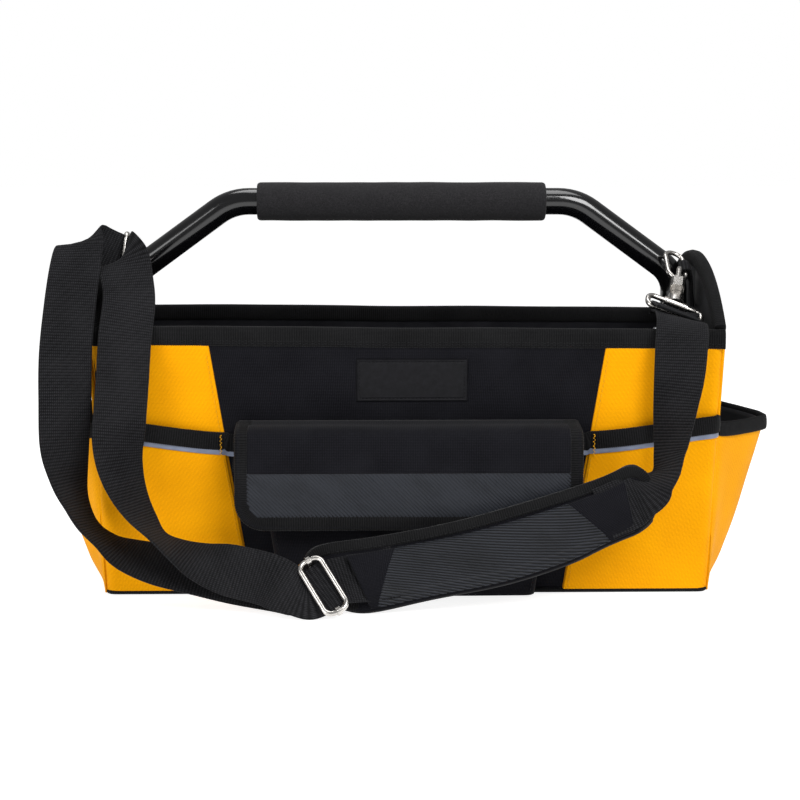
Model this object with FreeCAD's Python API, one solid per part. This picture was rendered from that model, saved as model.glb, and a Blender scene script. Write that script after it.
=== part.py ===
"""Open-top tool bag with a rigid tube handle, outside pockets and a shoulder strap.

Millimetres. +X along the bag, +Y to the back, +Z up. The origin is the centre of the flat base.
"""
import FreeCAD, Part
import math
import os

from FreeCAD import Matrix, Vector

os.makedirs("parts", exist_ok=True)

# Driving dimensions of the bag body
RIM_LENGTH = 462.0
RIM_DEPTH = 238.0
BASE_LENGTH = 442.0
BASE_DEPTH = 226.0
WALL_TOP = 195.8
RIM_HEIGHT = 197.0
EAR_HEIGHT = 248.0
FABRIC = 1.6
BOARD = 2.4
LINING = 1.0
WALL = FABRIC + BOARD + LINING
BASE_FABRIC = 2.0
BASE_BOARD = 4.0
FLOOR_TOP = BASE_FABRIC + BASE_BOARD + LINING
BLACK_HALF_TOP = 147.0
BLACK_HALF_BASE = 114.5
TAPE = 1.2
TAPE_DROP = 15.0
EAR_TAPE_DROP = 12.0

# Pockets
POCKET_TOP_IN = 112.0
POCKET_TOP_OUT = 127.0
POCKET_BULGE = 8.0
BAND_HEIGHT = 11.0
STRIP_HEIGHT = 4.0
CENTRE_HALF_TOP = 112.0
CENTRE_HALF_BASE = 93.0
CENTRE_TOP = 124.0
CENTRE_DEPTH_TOP = 28.0
CENTRE_DEPTH_BASE = 14.0
END_LIP_BULGE = 50.0
END_LIP_HEIGHT = 124.0
END_LIP_HALF = 110.0
END_BINDING = 10.0

# Flap of the centre pocket
FLAP_HALF = 124.0
FLAP_SEAM_Y = -118.6
FLAP_SEAM_Z = 132.0
FLAP_FRONT_Y = -150.0
FLAP_BOTTOM = 55.0
FLAP_THICK = 2.6
FLAP_CORNER = 18.0
FLAP_BINDING = 10.0

# Handle
TUBE_R = 10.5
TUBE_WALL = 1.5
GRIP_R = 14.3
GRIP_HALF = 112.5
HANDLE_Z = 287.5
SLOPE_DEG = 36.0
BEND_START_X = 121.0
BEND_R = 42.0
DROP_X = 212.6
DROP_BOTTOM = 146.0
DROP_BEND_R = 26.0
BOLT_R = 3.0
BOLT_HEIGHTS = (158.0, 184.0)

# D-rings, their loops and the snap hooks
RING_WIRE_R = 1.75
RING_BAR_X = 217.0
RING_CENTRE_Y = -24.0
RING_CENTRE_Z = 236.0
RING_TILT_DEG = 35.0
RING_HALF = 16.0
RING_DEPTH = 15.0
RING_CORNER = 7.0
RING_LIFT_DEG = 20.0
LOOP_R = 4.4
LOOP_HALF = 6.0
HOOK_ROD_R = 2.2
HOOK_R = 7.5
HOOK_LENGTH = 48.4
BARREL_NEAR = 12.0
BARREL_FAR = 23.6
BOLT_TRAVEL = 3.2
EYE_HALF = 21.6
EYE_HALF_DEPTH = 6.5
EYE_WIRE_R = 2.0
NECK_R = 3.4
FLANGE_R = 4.6
SLEEVE_R = 5.9

# Strap
STRAP_WIDTH = 38.0
STRAP_THICK = 1.8
PAD_WIDTH = 54.0
PAD_THICK = 9.0
PAD_GAP = 2.3
SLIDER_WIRE_R = 2.0
SLIDER_BAR_R = 1.7
SLIDER_HALF_WIDTH = 8.5
SLIDER_HALF_LENGTH = 22.7
SLIDER_POST = 21.1


def save(name, shape):
    """Writes one sub-part and stops if a solid of it is broken."""
    for solid in shape.Solids:
        if not solid.isValid() or solid.Volume <= 0:
            raise ValueError("broken solid in " + name)
    shape.exportStep("parts/" + name + ".step")
    print(name, len(shape.Solids), round(shape.Volume))


def half_x(z):
    return (BASE_LENGTH + (RIM_LENGTH - BASE_LENGTH) * z / RIM_HEIGHT) / 2


def half_y(z):
    return (BASE_DEPTH + (RIM_DEPTH - BASE_DEPTH) * z / RIM_HEIGHT) / 2


def black_half(z):
    return BLACK_HALF_BASE + (BLACK_HALF_TOP - BLACK_HALF_BASE) * z / WALL_TOP


def polygon(points):
    return Part.makePolygon([Vector(*p) for p in points] + [Vector(*points[0])])


def loft(points_a, points_b):
    """Solid with straight sides between two outlines of the same number of corners."""
    return Part.makeLoft([polygon(points_a), polygon(points_b)], True, True)


def tapered_box(low, high, z0, z1):
    """Box whose plan changes from low to high, each given as x0, x1, y0, y1."""
    outlines = []
    for (x0, x1, y0, y1), z in ((low, z0), (high, z1)):
        outlines.append([(x0, y0, z), (x1, y0, z), (x1, y1, z), (x0, y1, z)])
    return loft(*outlines)


def body_block(inset, z0, z1):
    """The bag's outer form, made smaller by inset on each side."""
    plans = []
    for z in (z0, z1):
        x, y = half_x(z) - inset, half_y(z) - inset
        plans.append((-x, x, -y, y))
    return tapered_box(plans[0], plans[1], z0, z1)


def front_slab(x_range, inset_out, inset_in, z0, z1, back=False):
    """Slab in the front or back wall; x_range(z) gives its left and right ends."""
    side = 1 if back else -1
    plans = []
    for z in (z0, z1):
        x0, x1 = x_range(z)
        ya, yb = side * (half_y(z) - inset_out), side * (half_y(z) - inset_in)
        plans.append((x0, x1, min(ya, yb), max(ya, yb)))
    return tapered_box(plans[0], plans[1], z0, z1)


def mirror_x(shape):
    return shape.mirror(Vector(0, 0, 0), Vector(1, 0, 0))


def mirror_y(shape):
    return shape.mirror(Vector(0, 0, 0), Vector(0, 1, 0))


def cylinder(radius, start, end):
    start, end = Vector(*start), Vector(*end)
    return Part.makeCylinder(radius, (end - start).Length, start, end - start)


# ---------------------------------------------------------------- body

EAR_HALF = half_y(RIM_HEIGHT)
EAR_RISE = EAR_HEIGHT - RIM_HEIGHT
EAR_R = (EAR_HALF ** 2 + EAR_RISE ** 2) / (2 * EAR_RISE)
EAR_CENTRE_Z = EAR_HEIGHT - EAR_R
EAR_X = RIM_LENGTH / 2


def ear(inset_out, inset_in, shrink=0.0):
    """Arched top of an end wall, above the rim, between two insets."""
    x0, x1 = EAR_X - inset_in, EAR_X - inset_out
    disc = Part.makeCylinder(EAR_R - shrink, x1 - x0, Vector(x0, 0, EAR_CENTRE_Z), Vector(1, 0, 0))
    above = Part.makeBox(x1 - x0, 2 * EAR_R, EAR_R, Vector(x0, -EAR_R, RIM_HEIGHT))
    return disc.common(above)


def end_wall(inset_out, inset_in, z0):
    """Right end wall layer with its ear."""
    def plan(z):
        y = half_y(z) - WALL
        return (half_x(z) - inset_in, half_x(z) - inset_out, -y, y)
    lower = tapered_box(plan(z0), plan(RIM_HEIGHT), z0, RIM_HEIGHT)
    trimmed = ear(inset_out, inset_in).common(
        Part.makeBox(20, 2 * (EAR_HALF - WALL), 80, Vector(EAR_X - 10, WALL - EAR_HALF, RIM_HEIGHT - 1)))
    return lower.fuse(trimmed).removeSplitter()


def bolt_holes():
    holes = [cylinder(BOLT_R + 0.05, (DROP_X - 14, 0, z), (EAR_X + 8, 0, z)) for z in BOLT_HEIGHTS]
    return holes[0].fuse(holes[1])


def make_body():
    full = lambda z: (-half_x(z), half_x(z))
    inner = lambda z: (-half_x(z) + FABRIC, half_x(z) - FABRIC)
    black = lambda z: (-black_half(z), black_half(z))
    yellow = lambda z: (black_half(z), half_x(z))

    save("bottom_panel", body_block(0.0, 0.0, BASE_FABRIC))
    save("base_board", body_block(WALL, BASE_FABRIC, BASE_FABRIC + BASE_BOARD))
    for back in (False, True):
        name = "back" if back else "front"
        save(name + "_panel", front_slab(black, 0, FABRIC, BASE_FABRIC, WALL_TOP, back))
        right = front_slab(yellow, 0, FABRIC, BASE_FABRIC, WALL_TOP, back)
        save("yellow_panel_" + name + "_right", right)
        save("yellow_panel_" + name + "_left", mirror_x(right))
        save(name + "_stiffener",
             front_slab(inner, FABRIC, FABRIC + BOARD, BASE_FABRIC, WALL_TOP, back))
    holes = bolt_holes()
    for name, mirrored in (("right", False), ("left", True)):
        outer = end_wall(0, FABRIC, BASE_FABRIC).cut(holes)
        board = end_wall(FABRIC, FABRIC + BOARD, BASE_FABRIC).cut(holes)
        save(name + "_end_panel", mirror_x(outer) if mirrored else outer)
        save(name + "_end_stiffener", mirror_x(board) if mirrored else board)
    lower = FABRIC + BOARD
    shell = body_block(lower, BASE_FABRIC + BASE_BOARD, WALL_TOP)
    shell = shell.cut(body_block(WALL, FLOOR_TOP, WALL_TOP + 1))
    keep = Part.makeBox(4 * half_x(0), 4 * half_y(0), 3 * EAR_HEIGHT, Vector(-2 * half_x(0), -2 * half_y(0), -1))
    ends = end_wall(lower, WALL, FLOOR_TOP).common(keep)
    base_edge = body_block(WALL, BASE_FABRIC, BASE_FABRIC + BASE_BOARD)
    lining = shell.fuse([ends, mirror_x(ends)]).removeSplitter()
    lining = lining.cut(base_edge).cut(holes).cut(mirror_x(holes))
    save("lining", lining)


def make_bindings():
    """Folded tape over the wall edges: straight along front and back, arched over the ears."""
    span = lambda z: (-half_x(z) + WALL + 2 * TAPE, half_x(z) - WALL - 2 * TAPE)
    bottom = RIM_HEIGHT - TAPE_DROP
    for back in (False, True):
        tape = front_slab(span, -TAPE, WALL + TAPE, bottom, RIM_HEIGHT, back)
        tape = tape.cut(front_slab(lambda z: (-300, 300), 0, WALL, bottom - 1, WALL_TOP, back))
        save(("back" if back else "front") + "_rim_binding", tape)
    save("right_ear_binding", ear_tape())
    save("left_ear_binding", mirror_x(ear_tape()))


def ear_tape():
    """Tape folded over the arched edge of the right end wall."""
    block = ear(-TAPE, WALL + TAPE, -TAPE)
    inner_r = EAR_R - EAR_TAPE_DROP
    block = block.cut(Part.makeCylinder(inner_r, 20, Vector(EAR_X - 14, 0, EAR_CENTRE_Z), Vector(1, 0, 0)))
    return block.cut(ear(0, WALL))


# ---------------------------------------------------------------- pockets

def pocket_outline(z_in, z_out, stand_off, thick, margin=0.0, back=0.0):
    """Right front corner pocket's outline at its inner and outer heights."""
    x_in, x_out = black_half(z_in) + margin, half_x(z_out) - margin
    y_in, y_out = -half_y(z_in), -half_y(z_out)
    return [(x_in, y_in - stand_off - thick, z_in), (x_out, y_out - stand_off - thick, z_out),
            (x_out, y_out - stand_off + back, z_out), (x_in, y_in - stand_off + back, z_in)]


def make_front_pockets():
    """Corner pockets on the front wall, standing off it most at the mouth, with band and strip."""
    base, top = (BASE_FABRIC, BASE_FABRIC), (POCKET_TOP_IN, POCKET_TOP_OUT)
    block = loft(pocket_outline(*base, 0.4, FABRIC, 0, 0.4), pocket_outline(*top, POCKET_BULGE, FABRIC, 0, POCKET_BULGE))
    over = [z + 2 for z in top]
    room = loft(pocket_outline(*[z + 2 for z in base], 0.4, 0, FABRIC, 0.5),
                pocket_outline(*over, POCKET_BULGE, 0, FABRIC, POCKET_BULGE + 0.5))
    pocket = block.cut(room)
    lifted = [z + BAND_HEIGHT for z in top]
    band_piece = loft(pocket_outline(*top, POCKET_BULGE, FABRIC + 1), pocket_outline(*lifted, POCKET_BULGE, FABRIC + 1))
    lowered = [z - STRIP_HEIGHT for z in top]
    strip = loft(pocket_outline(*lowered, POCKET_BULGE + FABRIC, 0.6), pocket_outline(*top, POCKET_BULGE + FABRIC, 0.6))
    for name, flip in (("right", False), ("left", True)):
        for part_name, shape in (("pocket", pocket), ("pocket_band", band_piece), ("reflective_strip", strip)):
            save("front_" + name + "_" + part_name, mirror_x(shape) if flip else shape)


def centre_plan(z, grow):
    """Outer plan of the centre pocket at height z."""
    share = z / CENTRE_TOP
    half = CENTRE_HALF_BASE + (CENTRE_HALF_TOP - CENTRE_HALF_BASE) * share - grow
    depth = CENTRE_DEPTH_BASE + (CENTRE_DEPTH_TOP - CENTRE_DEPTH_BASE) * share - grow
    return (-half, half, -half_y(z) - depth, -half_y(z))


def make_centre_pocket():
    z0 = BASE_FABRIC
    outer = tapered_box(centre_plan(z0, 0), centre_plan(CENTRE_TOP, 0), z0, CENTRE_TOP)
    hollow = tapered_box(centre_plan(z0 + 2, FABRIC), centre_plan(CENTRE_TOP + 2, FABRIC), z0 + 2, CENTRE_TOP + 2)
    save("centre_pocket", outer.cut(hollow))
    low, high = centre_plan(70, 0), centre_plan(95, 0)
    save("pocket_loop_tape", tapered_box((-40, 40, low[2] - 0.8, low[2]), (-40, 40, high[2] - 0.8, high[2]), 70, 95))


def flap_outline(half, bottom, corner):
    """Face outline of the flap's hanging front, in the XZ plane."""
    top = FLAP_SEAM_Z - 6
    points = [Vector(-half, 0, top), Vector(-half, 0, bottom + corner)]
    left_mid = Vector(-half + corner * 0.293, 0, bottom + corner * 0.293)
    right_mid = Vector(half - corner * 0.293, 0, bottom + corner * 0.293)
    edges = [Part.LineSegment(points[0], points[1]).toShape(),
             Part.Arc(points[1], left_mid, Vector(-half + corner, 0, bottom)).toShape(),
             Part.LineSegment(Vector(-half + corner, 0, bottom), Vector(half - corner, 0, bottom)).toShape(),
             Part.Arc(Vector(half - corner, 0, bottom), right_mid, Vector(half, 0, bottom + corner)).toShape(),
             Part.LineSegment(Vector(half, 0, bottom + corner), Vector(half, 0, top)).toShape(),
             Part.LineSegment(Vector(half, 0, top), points[0]).toShape()]
    return Part.Face(Part.Wire(edges))


def flap_front(half, bottom, corner, y_front, thick):
    face = flap_outline(half, bottom, corner)
    face.translate(Vector(0, y_front, 0))
    return face.extrude(Vector(0, thick, 0))


def make_flap():
    """Flap sewn to the front wall at its seam, reaching over the pocket and hanging in front of it."""
    hang = flap_front(FLAP_HALF - 3, FLAP_BOTTOM + 3, FLAP_CORNER - 3, FLAP_FRONT_Y, FLAP_THICK)
    lid = loft([(-FLAP_HALF + 3, FLAP_FRONT_Y, FLAP_SEAM_Z - 6), (FLAP_HALF - 3, FLAP_FRONT_Y, FLAP_SEAM_Z - 6),
                (FLAP_HALF - 3, FLAP_FRONT_Y + FLAP_THICK, FLAP_SEAM_Z - 6),
                (-FLAP_HALF + 3, FLAP_FRONT_Y + FLAP_THICK, FLAP_SEAM_Z - 6)],
               [(-FLAP_HALF + 3, FLAP_SEAM_Y, FLAP_SEAM_Z), (FLAP_HALF - 3, FLAP_SEAM_Y, FLAP_SEAM_Z),
                (FLAP_HALF - 3, FLAP_SEAM_Y, FLAP_SEAM_Z - FLAP_THICK),
                (-FLAP_HALF + 3, FLAP_SEAM_Y, FLAP_SEAM_Z - FLAP_THICK)])
    save("pocket_flap", hang.fuse(lid).removeSplitter())
    edge = flap_front(FLAP_HALF, FLAP_BOTTOM, FLAP_CORNER, FLAP_FRONT_Y - 0.8, FLAP_THICK + 1.6)
    slot = flap_front(FLAP_HALF - FLAP_BINDING, FLAP_BOTTOM + FLAP_BINDING, FLAP_CORNER - 8,
                      FLAP_FRONT_Y - 2, FLAP_THICK + 4)
    top_cut = Part.makeBox(400, 20, 20, Vector(-200, FLAP_FRONT_Y - 8, FLAP_SEAM_Z - 10))
    core = flap_front(FLAP_HALF - 3, FLAP_BOTTOM + 3, FLAP_CORNER - 3, FLAP_FRONT_Y, FLAP_THICK)
    binding = edge.cut(slot).cut(core).cut(top_cut)
    save("flap_binding", binding)
    inner = FLAP_HALF - FLAP_BINDING
    strip = Part.makeBox(2 * inner, 0.7, 30, Vector(-inner, FLAP_FRONT_Y - 0.7, 65))
    save("flap_ribbed_strip", strip.cut(binding))
    save("flap_hook_tape", Part.makeBox(80, 0.8, 25, Vector(-40, FLAP_FRONT_Y + FLAP_THICK, 70)))


def crescent(z, bulge, half, x_wall, thick):
    """Closed outline of a bowed strip of cloth, seen from above."""
    x_mid = x_wall + bulge
    outer_a, outer_b = Vector(x_wall, -half, z), Vector(x_wall, half, z)
    inner_a, inner_b = Vector(x_wall, -half + thick, z), Vector(x_wall, half - thick, z)
    return Part.Wire([
        Part.Arc(outer_a, Vector(x_mid, 0, z), outer_b).toShape(),
        Part.LineSegment(outer_b, inner_b).toShape(),
        Part.Arc(inner_b, Vector(x_mid - thick, 0, z), inner_a).toShape(),
        Part.LineSegment(inner_a, outer_a).toShape()])


def make_end_pockets():
    """Bowed pocket on each end wall, gathered flat at the base and open at the lip."""
    z0, z1 = BASE_FABRIC, END_LIP_HEIGHT
    low = crescent(z0, 3.0, END_LIP_HALF, half_x(z0), FABRIC)
    high = crescent(z1, END_LIP_BULGE, END_LIP_HALF, half_x(z1), FABRIC)
    pocket = Part.makeLoft([low, high], True, True)
    floor_face = Part.Face(Part.Wire([
        Part.Arc(Vector(half_x(z0), -END_LIP_HALF, z0), Vector(half_x(z0) + 3, 0, z0),
                 Vector(half_x(z0), END_LIP_HALF, z0)).toShape(),
        Part.LineSegment(Vector(half_x(z0), END_LIP_HALF, z0),
                         Vector(half_x(z0), -END_LIP_HALF, z0)).toShape()]))
    pocket = pocket.fuse(floor_face.extrude(Vector(0, 0, FABRIC))).removeSplitter()
    share = (z1 - END_BINDING - z0) / (z1 - z0)
    bulge_low = 3.0 + (END_LIP_BULGE - 3.0) * share
    lip = Part.makeLoft([crescent(z1 - END_BINDING, bulge_low + TAPE, END_LIP_HALF + TAPE, half_x(z1), FABRIC + 2 * TAPE),
                         crescent(z1 + TAPE, END_LIP_BULGE + TAPE, END_LIP_HALF + TAPE, half_x(z1), FABRIC + 2 * TAPE)],
                        True, True)
    lip = lip.cut(pocket)
    lip = lip.cut(body_block(0, 0, RIM_HEIGHT))
    pocket = pocket.cut(body_block(0, 0, RIM_HEIGHT))
    lip = Part.Compound([max(lip.Solids, key=lambda solid: solid.Volume)])
    save("right_end_pocket", pocket)
    save("left_end_pocket", mirror_x(pocket))
    save("right_end_pocket_binding", lip)
    save("left_end_pocket_binding", mirror_x(lip))


def make_label():
    height, width, thick = 31.0, 81.0, 2.0
    z0 = 144.0
    plate = tapered_box((3 - width / 2, 3 + width / 2, -half_y(z0) - thick, -half_y(z0)),
                        (3 - width / 2, 3 + width / 2, -half_y(z0 + height) - thick, -half_y(z0 + height)),
                        z0, z0 + height)
    save("label_patch", plate)


# ---------------------------------------------------------------- handle

def handle_path():
    """Right half of the tube's centre line, from the middle down to the tube's end."""
    slope = math.radians(SLOPE_DEG)
    bend = BEND_R
    a = Vector(0, 0, HANDLE_Z)
    b = Vector(BEND_START_X, 0, HANDLE_Z)
    c_mid = Vector(b.x + bend * math.sin(slope / 2), 0, b.z - bend * (1 - math.cos(slope / 2)))
    c = Vector(b.x + bend * math.sin(slope), 0, b.z - bend * (1 - math.cos(slope)))
    turn = math.pi / 2 - slope
    run = (DROP_X - DROP_BEND_R * (1 - math.sin(slope)) - c.x) / math.cos(slope)
    d = Vector(c.x + run * math.cos(slope), 0, c.z - run * math.sin(slope))
    centre = Vector(DROP_X - DROP_BEND_R, 0, d.z - DROP_BEND_R * math.cos(slope))
    d_mid = Vector(centre.x + DROP_BEND_R * math.cos(turn / 2), 0, centre.z + DROP_BEND_R * math.sin(turn / 2))
    e = Vector(DROP_X, 0, centre.z)
    f = Vector(DROP_X, 0, DROP_BOTTOM)
    return [Part.LineSegment(a, b).toShape(), Part.Arc(b, c_mid, c).toShape(),
            Part.LineSegment(c, d).toShape(), Part.Arc(d, d_mid, e).toShape(),
            Part.LineSegment(e, f).toShape()]


def tube_solid(radius):
    path = Part.Wire(handle_path())
    circle = Part.Wire(Part.makeCircle(radius, Vector(0, 0, HANDLE_Z), Vector(1, 0, 0)))
    half = path.makePipeShell([circle], True, False)
    return half.fuse(mirror_x(half)).removeSplitter()


def make_handle():
    holes = bolt_holes()
    tube = tube_solid(TUBE_R).cut(tube_solid(TUBE_R - TUBE_WALL))
    tube = tube.cut(holes).cut(mirror_x(holes))
    save("handle_tube", tube)
    grip = cylinder(GRIP_R, (-GRIP_HALF, 0, HANDLE_Z), (GRIP_HALF, 0, HANDLE_Z))
    grip = grip.makeFillet(2.5, [e for e in grip.Edges if e.Curve.TypeId == "Part::GeomCircle"])
    grip = grip.cut(cylinder(TUBE_R, (-200, 0, HANDLE_Z), (200, 0, HANDLE_Z)))
    save("handle_grip", grip)
    bolts, nuts = [], []
    for z in BOLT_HEIGHTS:
        outside = half_x(z + 6.0)
        head = cylinder(6.0, (outside, 0, z), (outside + 2.6, 0, z))
        shank = cylinder(BOLT_R, (DROP_X - TUBE_R - 5.5, 0, z), (outside, 0, z))
        bolt = head.fuse(shank).removeSplitter()
        nut = hex_prism(4.9, DROP_X - TUBE_R - 4.6, DROP_X - TUBE_R - 0.1, z)
        nut = nut.cut(cylinder(BOLT_R, (DROP_X - 40, 0, z), (DROP_X, 0, z)))
        bolts += [bolt, mirror_x(bolt)]
        nuts += [nut, mirror_x(nut)]
    save("handle_bolts", Part.Compound(bolts))
    save("handle_nuts", Part.Compound(nuts))


def hex_prism(across_corner, x0, x1, z):
    corners = [(x0, across_corner * math.cos(math.radians(60 * k)),
                z + across_corner * math.sin(math.radians(60 * k))) for k in range(6)]
    face = Part.Face(polygon(corners))
    return face.extrude(Vector(x1 - x0, 0, 0))


# ---------------------------------------------------------------- rings and hooks

def local_frame(origin, x_axis, y_axis):
    """Placement matrix with the given X and Y axes."""
    x = Vector(*x_axis).normalize()
    z = x.cross(Vector(*y_axis)).normalize()
    y = z.cross(x)
    return Matrix(x.x, y.x, z.x, origin[0], x.y, y.y, z.y, origin[1], x.z, y.z, z.z, origin[2], 0, 0, 0, 1)


def placed(shape, matrix):
    return shape.transformed(matrix)


def rounded_loop(half_a, half_b, corner, wire_r):
    """Closed wire loop in the local XY plane: a rounded rectangle swept by a round section."""
    solids = []
    a, b = half_a - corner, half_b - corner
    for sx in (-1, 1):
        solids.append(cylinder(wire_r, (sx * half_a, -b, 0), (sx * half_a, b, 0)))
    for sy in (-1, 1):
        solids.append(cylinder(wire_r, (-a, sy * half_b, 0), (a, sy * half_b, 0)))
    for k, (sx, sy) in enumerate(((1, 1), (-1, 1), (-1, -1), (1, -1))):
        elbow = Part.makeTorus(corner, wire_r, Vector(0, 0, 0), Vector(0, 0, 1), -180, 180, 90)
        elbow.rotate(Vector(0, 0, 0), Vector(0, 0, 1), 90 * k)
        elbow.translate(Vector(sx * a, sy * b, 0))
        solids.append(elbow)
    return solids[0].fuse(solids[1:]).removeSplitter()


TILT = math.radians(RING_TILT_DEG)
BAR_DIR = Vector(0, -math.cos(TILT), -math.sin(TILT))
LIFT = math.radians(RING_LIFT_DEG)
BAR_MID = Vector(RING_BAR_X, RING_CENTRE_Y, RING_CENTRE_Z)
INWARD = (Vector(-1, 0, 0) * math.cos(LIFT) + Vector(0, -math.sin(TILT), math.cos(TILT)) * math.sin(LIFT))
PIVOT = BAR_MID + BAR_DIR * RING_HALF + INWARD * (RING_DEPTH / 2)


def make_rings():
    """D-ring turning in a rolled webbing loop on the ear."""
    middle = BAR_MID + INWARD * (RING_DEPTH / 2)
    ring = rounded_loop(RING_DEPTH / 2, RING_HALF, RING_CORNER, RING_WIRE_R)
    ring = placed(ring, local_frame(tuple(middle), tuple(INWARD), tuple(BAR_DIR)))
    start = BAR_MID - BAR_DIR * LOOP_HALF
    end = BAR_MID + BAR_DIR * LOOP_HALF
    roll = cylinder(LOOP_R, tuple(start), tuple(end))
    up = Vector(0, -math.sin(TILT), math.cos(TILT))
    tail = Part.makeBox(EAR_X - WALL - RING_BAR_X, 2 * LOOP_HALF, 3.0)
    corner = BAR_MID - BAR_DIR * LOOP_HALF + up * 1.5
    tail = placed(tail, local_frame(tuple(corner), (1, 0, 0), tuple(BAR_DIR)))
    flat = Part.makeBox(1.6, 2 * LOOP_HALF, 26.0)
    corner = BAR_MID - BAR_DIR * LOOP_HALF + up * 3 + Vector(EAR_X - WALL - 1.7 - RING_BAR_X, 0, 0)
    flat = placed(flat, local_frame(tuple(corner), (1, 0, 0), tuple(BAR_DIR)))
    bore = cylinder(RING_WIRE_R + 0.15, tuple(BAR_MID - BAR_DIR * 30), tuple(BAR_MID + BAR_DIR * 30))
    loop = roll.fuse([tail, flat]).removeSplitter().cut(bore)
    loop = loop.common(Part.makeBox(EAR_X - WALL, 400, 400, Vector(0, -200, 0))).cut(ear_tape())
    for name, flip in (("right", False), ("left", True)):
        save(name + "_d_ring", mirror_x(ring) if flip else ring)
        save(name + "_ring_loop", mirror_x(loop) if flip else loop)


def hook_pieces(pivot, towards, spread):
    """One snap hook: body, bolt, spring and swivel eye.

    The hook's own axis runs from its eye to the ring; pivot is the middle of the hook's bow,
    towards points from the pivot to the eye, and spread is the eye's long direction.
    """
    axis = Vector(*towards).normalize() * -1
    normal = Vector(1, 0, 0)
    side = normal.cross(axis).normalize()
    frame = local_frame(tuple(pivot), tuple(axis), tuple(side))
    arm_top = Part.makeTorus(HOOK_R, HOOK_ROD_R, Vector(0, 0, 0), Vector(0, 0, 1), -180, 180, 180)
    arm_top.rotate(Vector(0, 0, 0), Vector(0, 0, 1), -90)
    shank = cylinder(HOOK_ROD_R, (-BARREL_NEAR - 1, HOOK_R, 0), (0, HOOK_R, 0))
    tip = cylinder(HOOK_ROD_R, (-2.0, -HOOK_R, 0), (0, -HOOK_R, 0))
    length = BARREL_FAR - BARREL_NEAR
    barrel = Part.makeBox(length, 2 * HOOK_R + 7, 10.5, Vector(-BARREL_FAR, -HOOK_R - 3.5, -5.25))
    barrel = barrel.makeChamfer(1.8, [e for e in barrel.Edges if abs(e.tangentAt(e.FirstParameter).x) > 0.9])
    neck = cylinder(NECK_R, (-BARREL_FAR - 6, 0, 0), (-BARREL_FAR + 1, 0, 0))
    flange = cylinder(FLANGE_R, (-BARREL_FAR - 6, 0, 0), (-BARREL_FAR - 4.4, 0, 0))
    body = barrel.fuse([neck, flange, shank, arm_top, tip]).removeSplitter()
    body = body.cut(cylinder(HOOK_ROD_R + 0.1, (-BARREL_FAR + 1.5, -HOOK_R, 0), (-BARREL_NEAR + 5, -HOOK_R, 0)))
    knob_x = -BARREL_NEAR - 2.4
    slot = Part.makeBox(BOLT_TRAVEL + 3.2, 8, 3.2, Vector(knob_x - BOLT_TRAVEL - 1.6, -HOOK_R - 8, -1.6))
    body = body.cut(slot)
    rod = cylinder(HOOK_ROD_R, (knob_x - 1.5, -HOOK_R, 0), (-2.4, -HOOK_R, 0))
    knob = cylinder(1.4, (knob_x, -HOOK_R, 0), (knob_x, -HOOK_R - 6.5, 0))
    bolt = rod.fuse(knob).removeSplitter()
    coil = Part.makeHelix(0.75, 2.2, 1.5)
    section = Part.Wire(Part.makeCircle(0.25, Vector(1.5, 0, 0), Vector(0, 1, 0)))
    spring = Part.Wire(coil).makePipeShell([section], True, True)
    spring.rotate(Vector(0, 0, 0), Vector(0, 1, 0), 90)
    spring.translate(Vector(-BARREL_FAR + 1.9, -HOOK_R, 0))
    eye_centre = -HOOK_LENGTH + 8
    bar_x = eye_centre + EYE_HALF_DEPTH
    eye = rounded_loop(EYE_HALF_DEPTH, EYE_HALF, 5.0, EYE_WIRE_R)
    eye.translate(Vector(eye_centre, 0, 0))
    sleeve = cylinder(SLEEVE_R, (bar_x - 1.0, 0, 0), (-BARREL_FAR - 0.35, 0, 0))
    sleeve_bar = cylinder(3.2, (bar_x, -9, 0), (bar_x, 9, 0))
    cavity = cylinder(FLANGE_R + 0.3, (-BARREL_FAR - 7.0, 0, 0), (-BARREL_FAR - 2.0, 0, 0))
    mouth = cylinder(NECK_R + 0.2, (-BARREL_FAR - 3, 0, 0), (-BARREL_FAR, 0, 0))
    eye = eye.fuse([sleeve, sleeve_bar]).removeSplitter()
    eye = eye.cut(cavity.fuse(mouth))
    swing = Vector(*spread)
    flat_dir = swing - axis * swing.dot(axis)
    eye_frame = local_frame(tuple(pivot), tuple(axis), tuple(flat_dir.normalize()))
    return placed(body, frame), placed(bolt, frame), placed(spring, frame), placed(eye, eye_frame)


LEFT_PIVOT = Vector(-PIVOT.x, PIVOT.y, PIVOT.z)
RIGHT_EYE_DIR = (-0.20, -0.83, -0.52)
RIGHT_SPREAD = (0.93, 0.0, -0.36)
LEFT_EYE_DIR = (0.0, -0.93, 0.36)
LEFT_SPREAD = (0.10, 0.35, 0.93)


def make_hooks():
    """Both snap hooks; returns the left swivel eye."""
    for name, pivot, direction, spread in (("right", PIVOT, RIGHT_EYE_DIR, RIGHT_SPREAD),
                                           ("left", LEFT_PIVOT, LEFT_EYE_DIR, LEFT_SPREAD)):
        body, bolt, spring, eye = hook_pieces(pivot, direction, spread)
        save(name + "_hook_body", body)
        save(name + "_hook_bolt", bolt)
        save(name + "_bolt_spring", spring)
        save(name + "_swivel_eye", eye)
    return eye


# ---------------------------------------------------------------- strap

SLIDE_DIR = Vector(0.88, 0.25, 0.42).normalize()
SLIDER_MID = Vector(-61, -184.5, 20.1)
SLIDER_ACROSS = (-0.48, 0.57, 0.665)


def on_slider(distance):
    """Point of the straight stretch of webbing that the slider runs on."""
    return tuple(SLIDER_MID + SLIDE_DIR * distance)


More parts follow.
